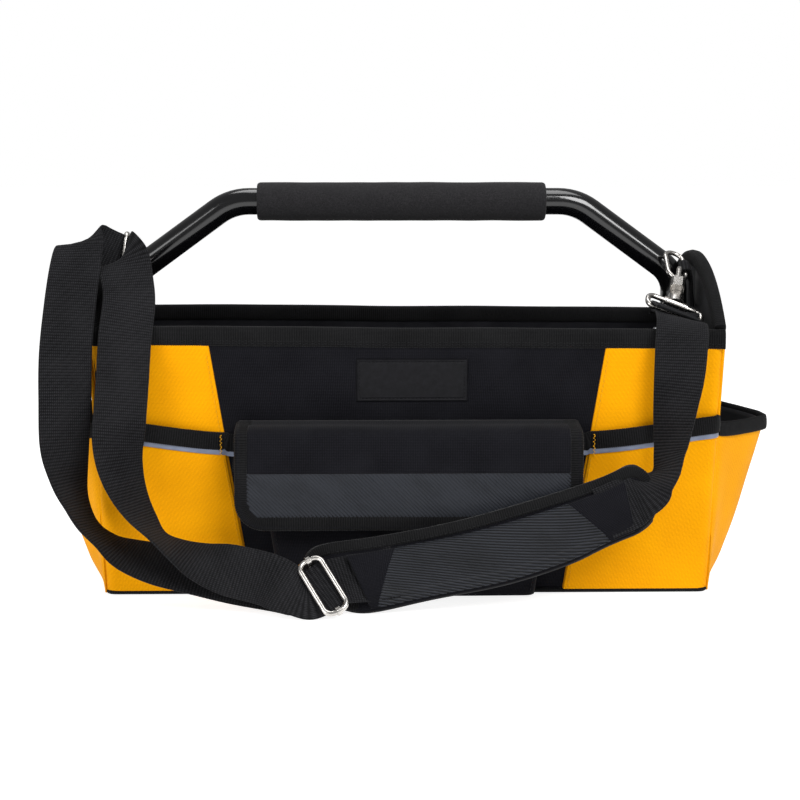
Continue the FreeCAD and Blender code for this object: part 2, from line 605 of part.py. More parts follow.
# Stations of the webbing: middle of the band, and the direction of one edge across it.
MAIN_RUN = [
    (on_slider(-5), SLIDER_ACROSS),
    (on_slider(4), SLIDER_ACROSS),
    (on_slider(12), SLIDER_ACROSS),
    (on_slider(24), (-0.43, 0.52, 0.72)),
    ((-16, -177, 34.5), (-0.28, 0.42, 0.86)),
    ((40, -176, 40), (-0.2, 0.24, 0.95)),
    ((100, -174, 56), (-0.27, 0.2, 0.94)),
    ((148, -172, 70), (-0.3, 0.3, 0.9)),
    ((160, -170, 74), (-0.25, 0.5, 0.8)),
    ((171, -167, 79.5), (-0.3, 0.7, 0.6)),
    ((179, -163, 88), (-0.3, 0.88, 0.35)),
    ((183.5, -160, 98), (-0.24, 0.96, 0.15)),
    ((187, -154, 112), (-0.42, 0.9, 0.05)),
    ((189.3, -150, 128), (-0.6, 0.8, 0.0)),
    ((191.9, -146, 147), (-0.76, 0.65, 0.0)),
    ((194.5, -143, 166), (-0.9, 0.44, 0.0)),
    ((196.5, -138, 185), (-0.96, 0.25, 0.0)),
    ((199.5, -124, 201.8), (-0.98, 0.0, 0.1)),
    ((201.0, -104, 204.6), (-0.96, 0.0, 0.24)),
    ((201.0, -80.6, 205.0), (-0.93, 0.0, 0.36)),
]
LEFT_EYE_ACROSS = (0.10, 0.35, 0.93)
INNER_ARM = [
    (on_slider(-6.8), SLIDER_ACROSS),
    (on_slider(-13), SLIDER_ACROSS),
    ((-80.5, -188.0, 15.2), (-0.42, 0.62, 0.66)),
    ((-96, -185, 18.6), (-0.12, 0.5, 0.84)),
    ((-109, -179, 24.0), (0.10, 0.42, 0.89)),
    ((-125, -173, 29.0), (0.24, 0.42, 0.87)),
    ((-148, -168, 36), (0.29, 0.8, 0.52)),
    ((-165, -165, 44), (0.24, 0.95, 0.16)),
    ((-179, -162, 53), (0.19, 0.97, -0.05)),
    ((-190, -158, 65.5), (0.38, 0.92, 0.0)),
    ((-198.6, -154, 79), (0.56, 0.82, 0.0)),
    ((-205, -150, 95), (0.73, 0.68, 0.0)),
    ((-208, -147, 113), (0.88, 0.47, 0.0)),
    ((-207.2, -143, 133), (0.99, 0.1, 0.0)),
    ((-205.5, -137, 160), (1.0, 0.05, 0.0)),
    ((-204, -128, 192), (0.98, 0.15, 0.0)),
    ((-202, -115, 219), (0.85, 0.4, 0.25)),
    ((-204, -101, 236), (0.55, 0.45, 0.6)),
    ((-208, -89, 245), (0.25, 0.40, 0.86)),
    ((-209.8, -84.6, 246.0), LEFT_EYE_ACROSS),
]
OUTER_ARM = [
    ((-92, -170, 17.5), (-0.15, 0.66, 0.72)),
    ((-125, -163, 21), (0.0, 0.66, 0.75)),
    ((-157, -160, 27), (0.0, 0.75, 0.66)),
    ((-181, -156, 32.2), (0.1, 0.78, 0.61)),
    ((-202, -152, 38.5), (0.2, 0.89, 0.4)),
    ((-218, -148, 46.4), (0.15, 0.97, 0.17)),
    ((-231, -144, 57), (0.33, 0.92, 0.0)),
    ((-239.6, -140, 73.4), (0.47, 0.88, 0.0)),
    ((-244.8, -138, 91.7), (0.67, 0.74, 0.0)),
    ((-247.8, -135, 114.5), (0.85, 0.5, 0.0)),
    ((-247.2, -133, 146.7), (0.96, 0.27, 0.0)),
    ((-246.5, -130, 183), (1.0, 0.0, 0.0)),
    ((-244.5, -117, 214), (0.99, 0.0, 0.1)),
    ((-241.5, -101, 243), (0.97, 0.0, 0.24)),
    ((-240, -91, 256), (0.955, 0.0, 0.297)),
    ((-236, -80, 257), (0.9, 0.1, 0.42)),
    ((-228, -76.5, 252), (0.5, 0.3, 0.78)),
    ((-218.5, -78.5, 248.5), LEFT_EYE_ACROSS),
]


def smooth_stations(stations, steps):
    """Stations of a smooth band through the given ones (Catmull-Rom)."""
    result = []
    count = len(stations)
    for i in range(count - 1):
        group = [stations[max(i - 1, 0)], stations[i], stations[i + 1], stations[min(i + 2, count - 1)]]
        for k in range(steps):
            t = k / steps
            weights = (-0.5 * t + t * t - 0.5 * t ** 3, 1 - 2.5 * t * t + 1.5 * t ** 3,
                       0.5 * t + 2 * t * t - 1.5 * t ** 3, -0.5 * t * t + 0.5 * t ** 3)
            centre, across = Vector(0, 0, 0), Vector(0, 0, 0)
            for weight, (point, direction) in zip(weights, group):
                centre += Vector(*point) * weight
                across += Vector(*direction) * weight
            result.append((centre, across))
    result.append((Vector(*stations[-1][0]), Vector(*stations[-1][1])))
    return result


def band(stations, width, thick, steps=2, shift=0.0):
    """Closed solid of a flat band that follows the stations, moved off them by shift."""
    rings = []
    smooth = smooth_stations(stations, steps)
    for i, (centre, across) in enumerate(smooth):
        ahead = smooth[min(i + 1, len(smooth) - 1)][0] - smooth[max(i - 1, 0)][0]
        ahead = Vector(ahead).normalize()
        side = (across - ahead * across.dot(ahead)).normalize()
        normal = side.cross(ahead)
        middle = centre + normal * shift
        w, n = side * (width / 2), normal * (thick / 2)
        rings.append([middle - w - n, middle + w - n, middle + w + n, middle - w + n])
    faces = []
    for a, b in zip(rings, rings[1:]):
        for k in range(4):
            m = (k + 1) % 4
            faces += [[a[k], a[m], b[m]], [a[k], b[m], b[k]]]
    for end in (rings[0][::-1], rings[-1]):
        faces += [[end[0], end[1], end[2]], [end[0], end[2], end[3]]]
    shell = Part.Shell([Part.Face(Part.makePolygon(f + [f[0]])) for f in faces])
    solid = Part.Solid(shell)
    if solid.Volume < 0:
        solid.reverse()
    return solid


def make_slider():
    """Wire frame in front of the webbing and a bar behind it, hooked round the frame's short sides."""
    side = Vector(*SLIDER_ACROSS)
    side = (side - SLIDE_DIR * side.dot(SLIDE_DIR)).normalize()
    frame = local_frame(tuple(SLIDER_MID), tuple(SLIDE_DIR), tuple(side))
    front = -1 if Vector(SLIDE_DIR).cross(side).y > 0 else 1
    level = front * (STRAP_THICK / 2 + SLIDER_WIRE_R + 0.5)
    loop = rounded_loop(SLIDER_HALF_WIDTH, SLIDER_HALF_LENGTH, 6.0, SLIDER_WIRE_R)
    loop.translate(Vector(0, 0, level))
    back = -front * (STRAP_THICK / 2 + SLIDER_BAR_R + 0.5)
    bar = cylinder(SLIDER_BAR_R, (0, -SLIDER_POST, back), (0, SLIDER_POST, back))
    for end in (-1, 1):
        post = cylinder(SLIDER_BAR_R, (0, end * SLIDER_POST, back), (0, end * SLIDER_POST, level))
        ball = Part.makeSphere(SLIDER_BAR_R, Vector(0, end * SLIDER_POST, back))
        collar = cylinder(SLIDER_WIRE_R + 1.3, (-1.6, end * SLIDER_HALF_LENGTH, level),
                          (1.6, end * SLIDER_HALF_LENGTH, level))
        bar = bar.fuse([post, ball, collar])
    for end in (-1, 1):
        bar = bar.cut(cylinder(SLIDER_WIRE_R + 0.02, (-9, end * SLIDER_HALF_LENGTH, level),
                               (9, end * SLIDER_HALF_LENGTH, level)))
    save("slider_frame", placed(loop, frame))
    save("slider_bar", placed(bar, frame))


def make_strap(left_eye):
    """Webbing in three spans that end at the slider and at the swivel eyes, and the pad behind it."""
    save("strap_main_run", band(MAIN_RUN, STRAP_WIDTH, STRAP_THICK))
    save("strap_inner_arm", band(INNER_ARM, STRAP_WIDTH, STRAP_THICK).cut(left_eye))
    save("strap_outer_arm", band(OUTER_ARM, STRAP_WIDTH, STRAP_THICK))
    save("shoulder_pad", band(MAIN_RUN[2:9], PAD_WIDTH, PAD_THICK,
                              shift=(PAD_THICK + STRAP_THICK) / 2 + PAD_GAP))


make_body()
make_bindings()
make_front_pockets()
make_centre_pocket()
make_flap()
make_end_pockets()
make_label()
make_handle()
make_rings()
left_swivel_eye = make_hooks()
make_slider()
make_strap(left_swivel_eye)
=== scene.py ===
"""Garden tool bag: cloth shell, pockets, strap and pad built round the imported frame."""
import bpy
import math
import numpy as np
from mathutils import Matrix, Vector, noise


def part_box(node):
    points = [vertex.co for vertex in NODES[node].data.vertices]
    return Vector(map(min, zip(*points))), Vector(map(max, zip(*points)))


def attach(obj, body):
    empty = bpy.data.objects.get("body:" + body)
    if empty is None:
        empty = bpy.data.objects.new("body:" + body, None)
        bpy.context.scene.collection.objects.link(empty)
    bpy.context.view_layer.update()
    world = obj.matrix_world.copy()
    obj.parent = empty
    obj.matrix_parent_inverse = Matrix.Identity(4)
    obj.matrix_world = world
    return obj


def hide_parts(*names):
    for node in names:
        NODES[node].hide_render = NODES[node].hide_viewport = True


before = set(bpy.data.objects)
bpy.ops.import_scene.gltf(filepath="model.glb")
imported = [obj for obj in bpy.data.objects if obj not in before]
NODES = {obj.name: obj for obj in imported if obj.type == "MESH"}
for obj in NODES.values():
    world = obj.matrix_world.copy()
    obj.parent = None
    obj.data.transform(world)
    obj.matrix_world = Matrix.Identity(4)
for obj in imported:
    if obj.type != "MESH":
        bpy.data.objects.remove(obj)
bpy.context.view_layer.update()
SCENE = bpy.context.scene
MM = 0.001

# ---------------------------------------------------------------- shape of the bag, in millimetres

RIM_Z, BASE_Z = 197.0, 1.5
CORNER_R = 7.0
EAR_R, EAR_CENTRE_Z = 164.3, 83.7
WALL = 5.0
FLAP_HALF, FLAP_CORNER = 124.0, 20.0
TAPE_THICK, HEM_THICK = 1.0, 0.9
RING_BAR, RING_TILT, RING_WRAP = (217.0, -24.0, 236.0), math.radians(35), 3.4
END_LIP_Z, END_LIP_HALF, END_LIP_BULGE, END_BASE_BULGE, END_RIDGE = 124.0, 110.0, 47.0, 3.0, 46.0
BAND_TALL, STRIP_TALL = 11.5, 4.6

SIDES = ((1, "right"), (-1, "left"))
WALLS = ((False, "front"), (True, "back"))
FRONT = (0, -1, 0)
UP = np.array([0.0, 0.0, 1.0])

# Stitches: length, gap and radius in millimetres.
SEAM_STITCH, TAPE_STITCH, EAR_STITCH = (2.6, 1.1, 0.28), (2.2, 1.0, 0.26), (2.4, 1.0, 0.28)


def at_height(z, low, high):
    """A size that grows evenly from low at the base to high at the rim."""
    return low + (high - low) * z / RIM_Z


def half_x(z):
    return at_height(z, 221.0, 231.0)


def half_y(z):
    return at_height(z, 113.0, 119.0)


def black_half(z):
    """Half of the black middle panel's width."""
    return at_height(z, 114.5, 147.0)


def ear_top(y):
    return EAR_CENTRE_Z + math.sqrt(max(EAR_R ** 2 - y * y, 0.0))


def smooth(t):
    t = min(max(t, 0.0), 1.0)
    return t * t * (3 - 2 * t)


def sag(x, y, z, size, amount):
    """A slow, repeatable wander of cloth, in millimetres."""
    return amount * noise.noise(Vector((x / size + 3.7, y / size - 1.3, z / size + 9.1)))


def wall_point(x, z, out, back=False):
    """Point of the front or back wall; past the corner x goes on round it and along the end wall."""
    side = 1 if x >= 0 else -1
    hx, hy, reach = half_x(z), half_y(z), abs(x)
    flat = hx - CORNER_R
    quarter = CORNER_R * math.pi / 2
    if reach <= flat:
        px, py = reach, hy + out
    elif reach <= flat + quarter:
        turn = (reach - flat) / CORNER_R
        px = flat + (CORNER_R + out) * math.sin(turn)
        py = hy - CORNER_R + (CORNER_R + out) * math.cos(turn)
    else:
        px, py = hx + out, hy - CORNER_R - (reach - flat - quarter)
    return (side * px, py if back else -py, z)

# ---------------------------------------------------------------- mesh helpers

def mesh_object(name, verts, faces, uvs, material):
    """A mesh from millimetres; nothing of it goes below the floor that the bag stands on."""
    mesh = bpy.data.meshes.new(name)
    placed = np.asarray(verts, float) * MM
    placed[:, 2] = np.maximum(placed[:, 2], 0.0002)
    mesh.from_pydata([tuple(v) for v in placed], [], faces)
    layer = mesh.uv_layers.new(name="UVMap")
    index = np.empty(len(mesh.loops), np.int64)
    mesh.loops.foreach_get("vertex_index", index)
    layer.data.foreach_set("uv", (np.asarray(uvs, float)[index] * MM).ravel())
    mesh.polygons.foreach_set("use_smooth", [True] * len(mesh.polygons))
    mesh.materials.append(material)
    mesh.update()
    obj = bpy.data.objects.new(name, mesh)
    SCENE.collection.objects.link(obj)
    return obj


def finish_piece(obj, body, slot, *nodes):
    if nodes:
        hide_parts(*nodes)
    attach(obj, body)
    return obj


def unit(a):
    return a / np.maximum(np.linalg.norm(a, axis=-1, keepdims=True), 1e-9)


def heading(path):
    return unit(np.gradient(np.asarray(path, float), axis=0))


def square_to(ahead, across):
    """Directions across a path, made square to it."""
    return unit(across - ahead * np.sum(across * ahead, axis=1, keepdims=True))


def follow(where, lengths, rows):
    """Rows of numbers interpolated at one or more lengths."""
    return np.stack([np.interp(where, lengths, column) for column in np.asarray(rows, float).T], axis=-1)


def run_lengths(path):
    return np.concatenate([[0], np.cumsum(np.linalg.norm(np.diff(path, axis=0), axis=1))])


def box_mm(node):
    return (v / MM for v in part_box(node))


def oval_section(half_a, half_b):
    angles = np.linspace(0, 2 * math.pi, 11)[:-1]
    return np.stack([half_a * np.cos(angles), half_b * np.sin(angles)], axis=1)


def cloth_data(points, uvs, thick, flip=False):
    """Closed cloth with rounded hems: vertices, faces and UVs. points is [nu][nv] of xyz."""
    points, uvs = np.asarray(points, float), np.asarray(uvs, float)
    nu, nv = points.shape[:2]
    normals = unit(np.cross(np.gradient(points, axis=0), np.gradient(points, axis=1))) * (-1 if flip else 1)
    back = points - normals * thick
    border = [(i, 0) for i in range(nu)] + [(nu - 1, j) for j in range(1, nv)]
    border += [(i, nv - 1) for i in range(nu - 2, -1, -1)] + [(0, j) for j in range(nv - 2, 0, -1)]
    mid = []
    for i, j in border:
        inner = points[min(max(i, 1), nu - 2), min(max(j, 1), nv - 2)]
        away = points[i, j] - inner
        away = away / max(np.linalg.norm(away), 1e-9)
        mid.append((points[i, j] + back[i, j]) / 2 + away * thick * 0.45)
    count = nu * nv
    verts = np.concatenate([points.reshape(-1, 3), back.reshape(-1, 3), np.array(mid)])
    border_uv = [uvs[i, j] for i, j in border]
    all_uv = np.concatenate([uvs.reshape(-1, 2), uvs.reshape(-1, 2), np.array(border_uv)])
    faces = []
    for i in range(nu - 1):
        for j in range(nv - 1):
            a, b, c, d = i * nv + j, (i + 1) * nv + j, (i + 1) * nv + j + 1, i * nv + j + 1
            quad = (a, d, c, b) if flip else (a, b, c, d)
            faces.append(quad)
            faces.append(tuple(count + k for k in reversed(quad)))
    ring = len(border)
    for k in range(ring):
        i, j = border[k]
        m, n = border[(k + 1) % ring]
        front_a, front_b = i * nv + j, m * nv + n
        mid_a, mid_b = 2 * count + k, 2 * count + (k + 1) % ring
        upper = (front_b, front_a, mid_a, mid_b)
        lower = (mid_b, mid_a, count + front_a, count + front_b)
        faces += [upper[::-1], lower[::-1]] if flip else [upper, lower]
    return verts, faces, all_uv


def cloth(name, sheets, material, body, slot, *nodes):
    """One finished piece from one or more sheets of vertices, faces and UVs."""
    verts, faces, uvs, start = [], [], [], 0
    for v, f, u in sheets:
        verts.append(v)
        uvs.append(u)
        faces += [tuple(k + start for k in face) for face in f]
        start += len(v)
    made = mesh_object(name, np.concatenate(verts), faces, np.concatenate(uvs), material)
    return finish_piece(made, body, slot, *nodes)


def panel(place, u_range, v_range, nu, nv, thick, flip=False):
    """Cloth from place(u, v) -> xyz, its UVs in millimetres along the two directions."""
    us, vs = np.linspace(*u_range, nu), np.linspace(*v_range, nv)
    points = np.array([[place(u, v) for v in vs] for u in us], float)
    step_u = np.linalg.norm(np.diff(points, axis=0), axis=2).mean(axis=1)
    step_v = np.linalg.norm(np.diff(points, axis=1), axis=2).mean(axis=0)
    along = np.concatenate([[0], np.cumsum(step_u)])
    up = np.concatenate([[0], np.cumsum(step_v)])
    uvs = np.stack(np.meshgrid(along, up, indexing="ij"), axis=-1)
    return cloth_data(points, uvs, thick, flip)


def mapped(place, u_range, v_range, nu, nv):
    """Cloth from place(u, v) -> xyz and UV."""
    rows = [[place(u, v) for v in np.linspace(*v_range, nv)] for u in np.linspace(*u_range, nu)]
    points, uvs = (np.array([[cell[k] for cell in row] for row in rows], float) for k in (0, 1))
    return cloth_data(points, uvs, 1.0)


def catmull(values, steps):
    """A smooth curve through rows of numbers, with so many steps between each two."""
    values = np.asarray(values, float)
    padded = np.concatenate([values[:1] * 2 - values[1:2], values, values[-1:] * 2 - values[-2:-1]])
    out = []
    for i in range(len(values) - 1):
        p0, p1, p2, p3 = padded[i:i + 4]
        for k in range(steps):
            t = k / steps
            out.append(0.5 * (2 * p1 + (p2 - p0) * t + (2 * p0 - 5 * p1 + 4 * p2 - p3) * t * t
                              + (3 * p1 - p0 - 3 * p2 + p3) * t ** 3))
    out.append(values[-1])
    return np.array(out)


def resample(path, step, *others):
    """Path points about step apart, and any other per-point rows interpolated with them."""
    path = np.asarray(path, float)
    lengths = run_lengths(path)
    at = np.linspace(0, lengths[-1], max(int(round(lengths[-1] / step)), 2) + 1)
    return (at, *(follow(at, lengths, rows) for rows in (path, *others)))


def sweep_data(at, centres, side, up, section, rib=None, weights=None):
    """Solid of a closed section (a along side, b along up) carried along centres, capped."""
    section = np.asarray(section, float)
    m, n = len(section), len(centres)
    following = np.roll(section, -1, 0) - np.roll(section, 1, 0)
    outward = unit(np.stack([following[:, 1], -following[:, 0]], axis=1))
    swell = np.zeros((n, m))
    if rib:
        pitch, height = rib
        wave = 0.5 - 0.5 * np.cos(2 * math.pi * at / pitch)
        swell = wave[:, None] * height * (np.ones(m) if weights is None else weights)[None, :]
    a = section[None, :, 0] + outward[None, :, 0] * swell
    b = section[None, :, 1] + outward[None, :, 1] * swell
    verts = centres[:, None, :] + side[:, None, :] * a[:, :, None] + up[:, None, :] * b[:, :, None]
    girth = run_lengths(section)
    uvs = np.stack(np.broadcast_arrays(at[:, None], girth[None, :]), axis=-1)
    i, j = np.meshgrid(np.arange(n - 1), np.arange(m), indexing="ij")
    k = (j + 1) % m
    quads = np.stack([i * m + j, (i + 1) * m + j, (i + 1) * m + k, i * m + k], axis=-1).reshape(-1, 4)
    faces = [tuple(int(x) for x in q) for q in quads]
    faces.append(tuple(range(m)))
    faces.append(tuple(range((n - 1) * m, n * m))[::-1])
    verts = verts.reshape(-1, 3)
    volume_sign = np.dot(np.cross(side[0], up[0]), centres[1] - centres[0])
    if volume_sign * signed_area(section) < 0:
        faces = [f[::-1] for f in faces]
    return verts, faces, uvs.reshape(-1, 2)


def signed_area(section):
    x, y = section.T
    return 0.5 * np.sum(x * np.roll(y, -1) - np.roll(x, -1) * y)


def round_section(half_a, half_b, flat_points, corner_points=5):
    """Flat rounded section, both long faces divided so that they can carry a weave."""
    points = []
    straight = half_a - half_b
    for side in (1, -1):
        points += [(x, -side * half_b) for x in np.linspace(-side * straight, side * straight, flat_points)]
        for k in range(1, corner_points):
            t = math.pi * (k / corner_points - side / 2)
            points.append((side * straight + half_b * math.cos(t), half_b * math.sin(t)))
    return np.array(points)


def fold_section(drop_out, drop_in, core, tape):
    """Tape folded over an edge: a is the depth from the edge, b is across the wall."""
    o, i = core / 2 + tape, core / 2
    return np.array([
        (drop_out, i), (drop_out + 0.3, i + 0.5 * tape), (drop_out - 0.4, o), (drop_out * 0.66, o + 0.25),
        (drop_out * 0.33, o + 0.15), (1.2, o - 0.1), (-0.4, o * 0.72), (-1.1, 0.0), (-0.4, -o * 0.72),
        (1.2, -o + 0.1), (drop_in * 0.33, -o - 0.15), (drop_in * 0.66, -o - 0.25), (drop_in - 0.4, -o),
        (drop_in + 0.3, -i - 0.5 * tape), (drop_in, -i), (drop_in * 0.5, 0.0)])


def binding(name, path, depth_dir, face_dir, section, body, slot, *nodes, rib=(1.7, 0.34)):
    """Ribbed tape along a path."""
    at, centres, depth, face = resample(path, rib[0] / 5, depth_dir, face_dir)
    depth = unit(depth)
    face = square_to(depth, face)
    return cloth(name, [sweep_data(at, centres, depth, face, section, rib)], BINDING, body, slot, *nodes)


def stitch_data(path, normals, length=2.6, gap=1.3, radius=0.38):
    """Stitches lying along a path, each one a short spindle half sunk in the cloth."""
    at, centres, up = resample(path, 0.4, normals)
    total = at[-1]
    verts, faces, uvs = [], [], []
    start = 0.0
    while start + length < total:
        ends = [follow(start + length * t, at, centres) for t in (0.0, 0.2, 0.5, 0.8, 1.0)]
        lift = follow(start + length / 2, at, up)
        ahead = unit(ends[-1] - ends[0])
        lift = unit(lift - ahead * np.dot(lift, ahead))
        across = np.cross(ahead, lift)
        base = len(verts)
        for point, wide, high in zip(ends, (0.35, 0.9, 1.0, 0.9, 0.35), (-0.5, 0.25, 0.45, 0.25, -0.5)):
            for k in range(6):
                angle = math.pi * k / 3
                verts.append(point + lift * radius * high + across * radius * wide * math.cos(angle)
                             + lift * radius * wide * math.sin(angle))
                uvs.append((start, k))
        for r in range(4):
            for k in range(6):
                a, b = base + r * 6 + k, base + r * 6 + (k + 1) % 6
                faces.append((a, a + 6, b + 6, b)[::-1])
        faces.append(tuple(base + k for k in range(6)))
        faces.append(tuple(base + 24 + k for k in range(6))[::-1])
        start += length + gap
    return np.array(verts), faces, np.array(uvs)

# ---------------------------------------------------------------- materials

class Shader:
    """A Principled material with a few helpers that wire up its pattern."""

    def __init__(self, name, rough, **sockets):
        self.material = bpy.data.materials.new(name)
        self.material.use_nodes = True
        self.tree = self.material.node_tree
        self.bsdf = self.tree.nodes["Principled BSDF"]
        self.bsdf.inputs["Roughness"].default_value = rough
        for key, value in sockets.items():
            self.bsdf.inputs[key.replace("_", " ")].default_value = value

    def node(self, kind, **settings):
        made = self.tree.nodes.new(kind)
        for key, value in settings.items():
            setattr(made, key, value)
        return made

    def link(self, a, b):
        self.tree.links.new(a, b)

    def coords(self, kind):
        return self.node("ShaderNodeTexCoord").outputs[kind]

    def wave(self, vector, pitch, direction, distortion=0.0):
        made = self.node("ShaderNodeTexWave", bands_direction=direction)
        made.inputs["Scale"].default_value = 2 * math.pi / (20 * pitch)
        made.inputs["Distortion"].default_value = distortion
        self.link(vector, made.inputs["Vector"])
        return made.outputs["Fac"]

    def noise(self, vector, size, detail=3.0):
        made = self.node("ShaderNodeTexNoise")
        made.inputs["Scale"].default_value = 1 / size
        made.inputs["Detail"].default_value = detail
        self.link(vector, made.inputs["Vector"])
        return made.outputs["Fac"]

    def math(self, operation, a, b):
        made = self.node("ShaderNodeMath", operation=operation)
        for socket, value in zip(made.inputs, (a, b)):
            if isinstance(value, (int, float)):
                socket.default_value = value
            else:
                self.link(value, socket)
        return made.outputs[0]

    def ramp(self, factor, *stops):
        made = self.node("ShaderNodeValToRGB")
        elements = made.color_ramp.elements
        while len(elements) < len(stops):
            elements.new(0.5)
        for element, (position, colour) in zip(elements, stops):
            element.position = position
            element.color = (*colour, 1)
        self.link(factor, made.inputs["Fac"])
        return made.outputs["Color"]

    def colour(self, socket):
        self.link(socket, self.bsdf.inputs["Base Color"])

    def roughness(self, factor, low, high):
        made = self.node("ShaderNodeMapRange")
        made.inputs["To Min"].default_value = low
        made.inputs["To Max"].default_value = high
        self.link(factor, made.inputs["Value"])
        self.link(made.outputs["Result"], self.bsdf.inputs["Roughness"])

    def bump(self, height, distance, strength=1.0):
        made = self.node("ShaderNodeBump")
        made.inputs["Distance"].default_value = distance
        made.inputs["Strength"].default_value = strength
        self.link(height, made.inputs["Height"])
        self.link(made.outputs["Normal"], self.bsdf.inputs["Normal"])


def woven(name, dark, light, pitch_u, pitch_v, rough, depth, sheen, diagonal=0.0, patch=0.035):
    """Cloth woven along its UVs: crossing threads, a slow change of tone and light flecks."""
    s = Shader(name, rough, Sheen_Weight=sheen, Sheen_Roughness=0.4, Specular_IOR_Level=0.06)
    uv = s.coords("UV")
    threads = s.math("MULTIPLY", s.wave(uv, pitch_u * MM, "X", 0.6), s.wave(uv, pitch_v * MM, "Y", 0.6))
    if diagonal:
        threads = s.math("ADD", s.math("MULTIPLY", threads, 1 - diagonal),
                         s.math("MULTIPLY", s.wave(uv, pitch_u * MM * 1.7, "DIAGONAL", 0.4), diagonal))
    slow = s.noise(uv, patch, 4.0)
    fleck = s.noise(uv, 0.0011, 2.0)
    tone = s.math("ADD", s.math("MULTIPLY", threads, 0.5), s.math("MULTIPLY", slow, 0.35))
    tone = s.math("ADD", tone, s.math("MULTIPLY", fleck, 0.25))
    s.colour(s.ramp(tone, (0.2, dark), (0.85, light)))
    s.roughness(slow, rough - 0.06, min(rough + 0.06, 1.0))
    s.bump(s.math("ADD", threads, s.math("MULTIPLY", fleck, 0.5)), depth, 0.9)
    return s.material


def plain(name, kind, rough, tone, stops, grain, grain_depth, uneven=None, **sockets):
    """One slow tone over a fine grain. tone, grain and uneven give a noise's size and detail first."""
    s = Shader(name, rough, **sockets)
    at = s.coords(kind)
    s.colour(s.ramp(s.noise(at, *tone), *stops))
    if uneven:
        s.roughness(s.noise(at, *uneven[:2]), *uneven[2:])
    s.bump(s.noise(at, *grain), *grain_depth)
    return s.material


def metal(name, dark, light, low, high):
    return plain(name, "Object", low, (0.008, 4.0), ((0.3, dark), (0.75, light)),
                 (0.0009, 3.0), (0.00002, 0.5), (0.0015, 4.0, low, high), Metallic=1.0)


def thread(name, colour):
    return plain(name, "Object", 0.7, (0.0008, 2.0), ((0.3, tuple(c * 0.6 for c in colour)), (0.8, colour)),
                 (0.0008, 2.0), (0.00005, 0.8), Specular_IOR_Level=0.15)


BLACK = woven("black_canvas", (0.0010, 0.0010, 0.0018), (0.0165, 0.0165, 0.0205), 1.25, 1.1, 0.9, 0.00012,
              0.06)
YELLOW = woven("yellow_twill", (0.62, 0.225, 0.0), (1.0, 0.465, 0.001), 1.05, 0.95, 0.85, 0.00009, 0.05,
               0.12, 0.05)
LINING = plain("lining_cloth", "UV", 0.75, (0.02, 4.0),
               ((0.3, (0.006, 0.006, 0.008)), (0.75, (0.015, 0.015, 0.018))),
               (0.0016, 3.0), (0.0001, 0.7), Sheen_Weight=0.05, Specular_IOR_Level=0.08)
BINDING = woven("grosgrain", (0.0010, 0.0010, 0.0012), (0.020, 0.020, 0.021), 1.7, 0.9, 0.85, 0.00012, 0.08)
WEBBING = woven("webbing_weave", (0.0008, 0.0008, 0.001), (0.029, 0.029, 0.032), 2.2, 1.4, 0.75, 0.0003,
                0.05, 0.08)
PATCH = woven("pad_canvas", (0.0010, 0.0010, 0.0018), (0.0165, 0.0165, 0.0205), 1.1, 1.1, 0.9, 0.0001, 0.06)
FUZZ = woven("fuzzy_tape", (0.002, 0.002, 0.002), (0.012, 0.012, 0.013), 0.7, 0.7, 0.95, 0.0003, 0.2)

RIB_PITCH, PAD_RIB_PITCH = 2.9, 2.2


def ribbed_gloss():
    """Moulded ribs: the first UV runs across them, so that painted shade darkens the grooves and a painted
    highlight lightens the crests.
    """
    s = Shader("glossy_ribs", 0.38, Specular_IOR_Level=0.16)
    uv = s.coords("UV")
    tone = s.math("ADD", s.math("MULTIPLY", s.noise(uv, 0.03, 3.0), 0.7),
                  s.math("MULTIPLY", s.noise(uv, 0.0006, 2.0), 0.3))
    # Painted light: the colour follows the ribs, with painted shade in the grooves and a painted highlight on
    # the crests.
    painted_rib_light = s.math("MULTIPLY", s.wave(uv, RIB_PITCH * MM, "X"), tone)
    s.colour(s.ramp(painted_rib_light, (0.05, (0.0008, 0.0009, 0.0012)), (0.5, (0.019, 0.021, 0.027))))
    s.roughness(tone, 0.32, 0.5)
    s.bump(s.noise(uv, 0.0006, 2.0), 0.00004, 0.6)
    return s.material


def reflective_tape():
    s = Shader("reflective_grey", 0.42, Metallic=0.25, Sheen_Weight=0.1)
    uv = s.coords("UV")
    tone = s.noise(uv, 0.012, 3.0)
    s.colour(s.ramp(tone, (0.3, (0.12, 0.14, 0.20)), (0.75, (0.20, 0.23, 0.31))))
    s.bump(s.wave(uv, 0.0005, "X"), 0.00003, 0.5)
    return s.material


def foam_rubber():
    s = Shader("foam_rubber", 0.92, Sheen_Weight=0.08, Sheen_Roughness=0.5, Specular_IOR_Level=0.08)
    at = s.coords("Object")
    cells = s.node("ShaderNodeTexVoronoi")
    cells.inputs["Scale"].default_value = 1500
    s.link(at, cells.inputs["Vector"])
    grain = s.math("ADD", s.math("MULTIPLY", cells.outputs["Distance"], 0.6),
                   s.math("MULTIPLY", s.noise(at, 0.0012, 4.0), 0.6))
    s.colour(s.ramp(grain, (0.25, (0.005, 0.005, 0.0055)), (0.95, (0.026, 0.025, 0.027))))
    s.bump(grain, 0.00018, 0.9)
    return s.material


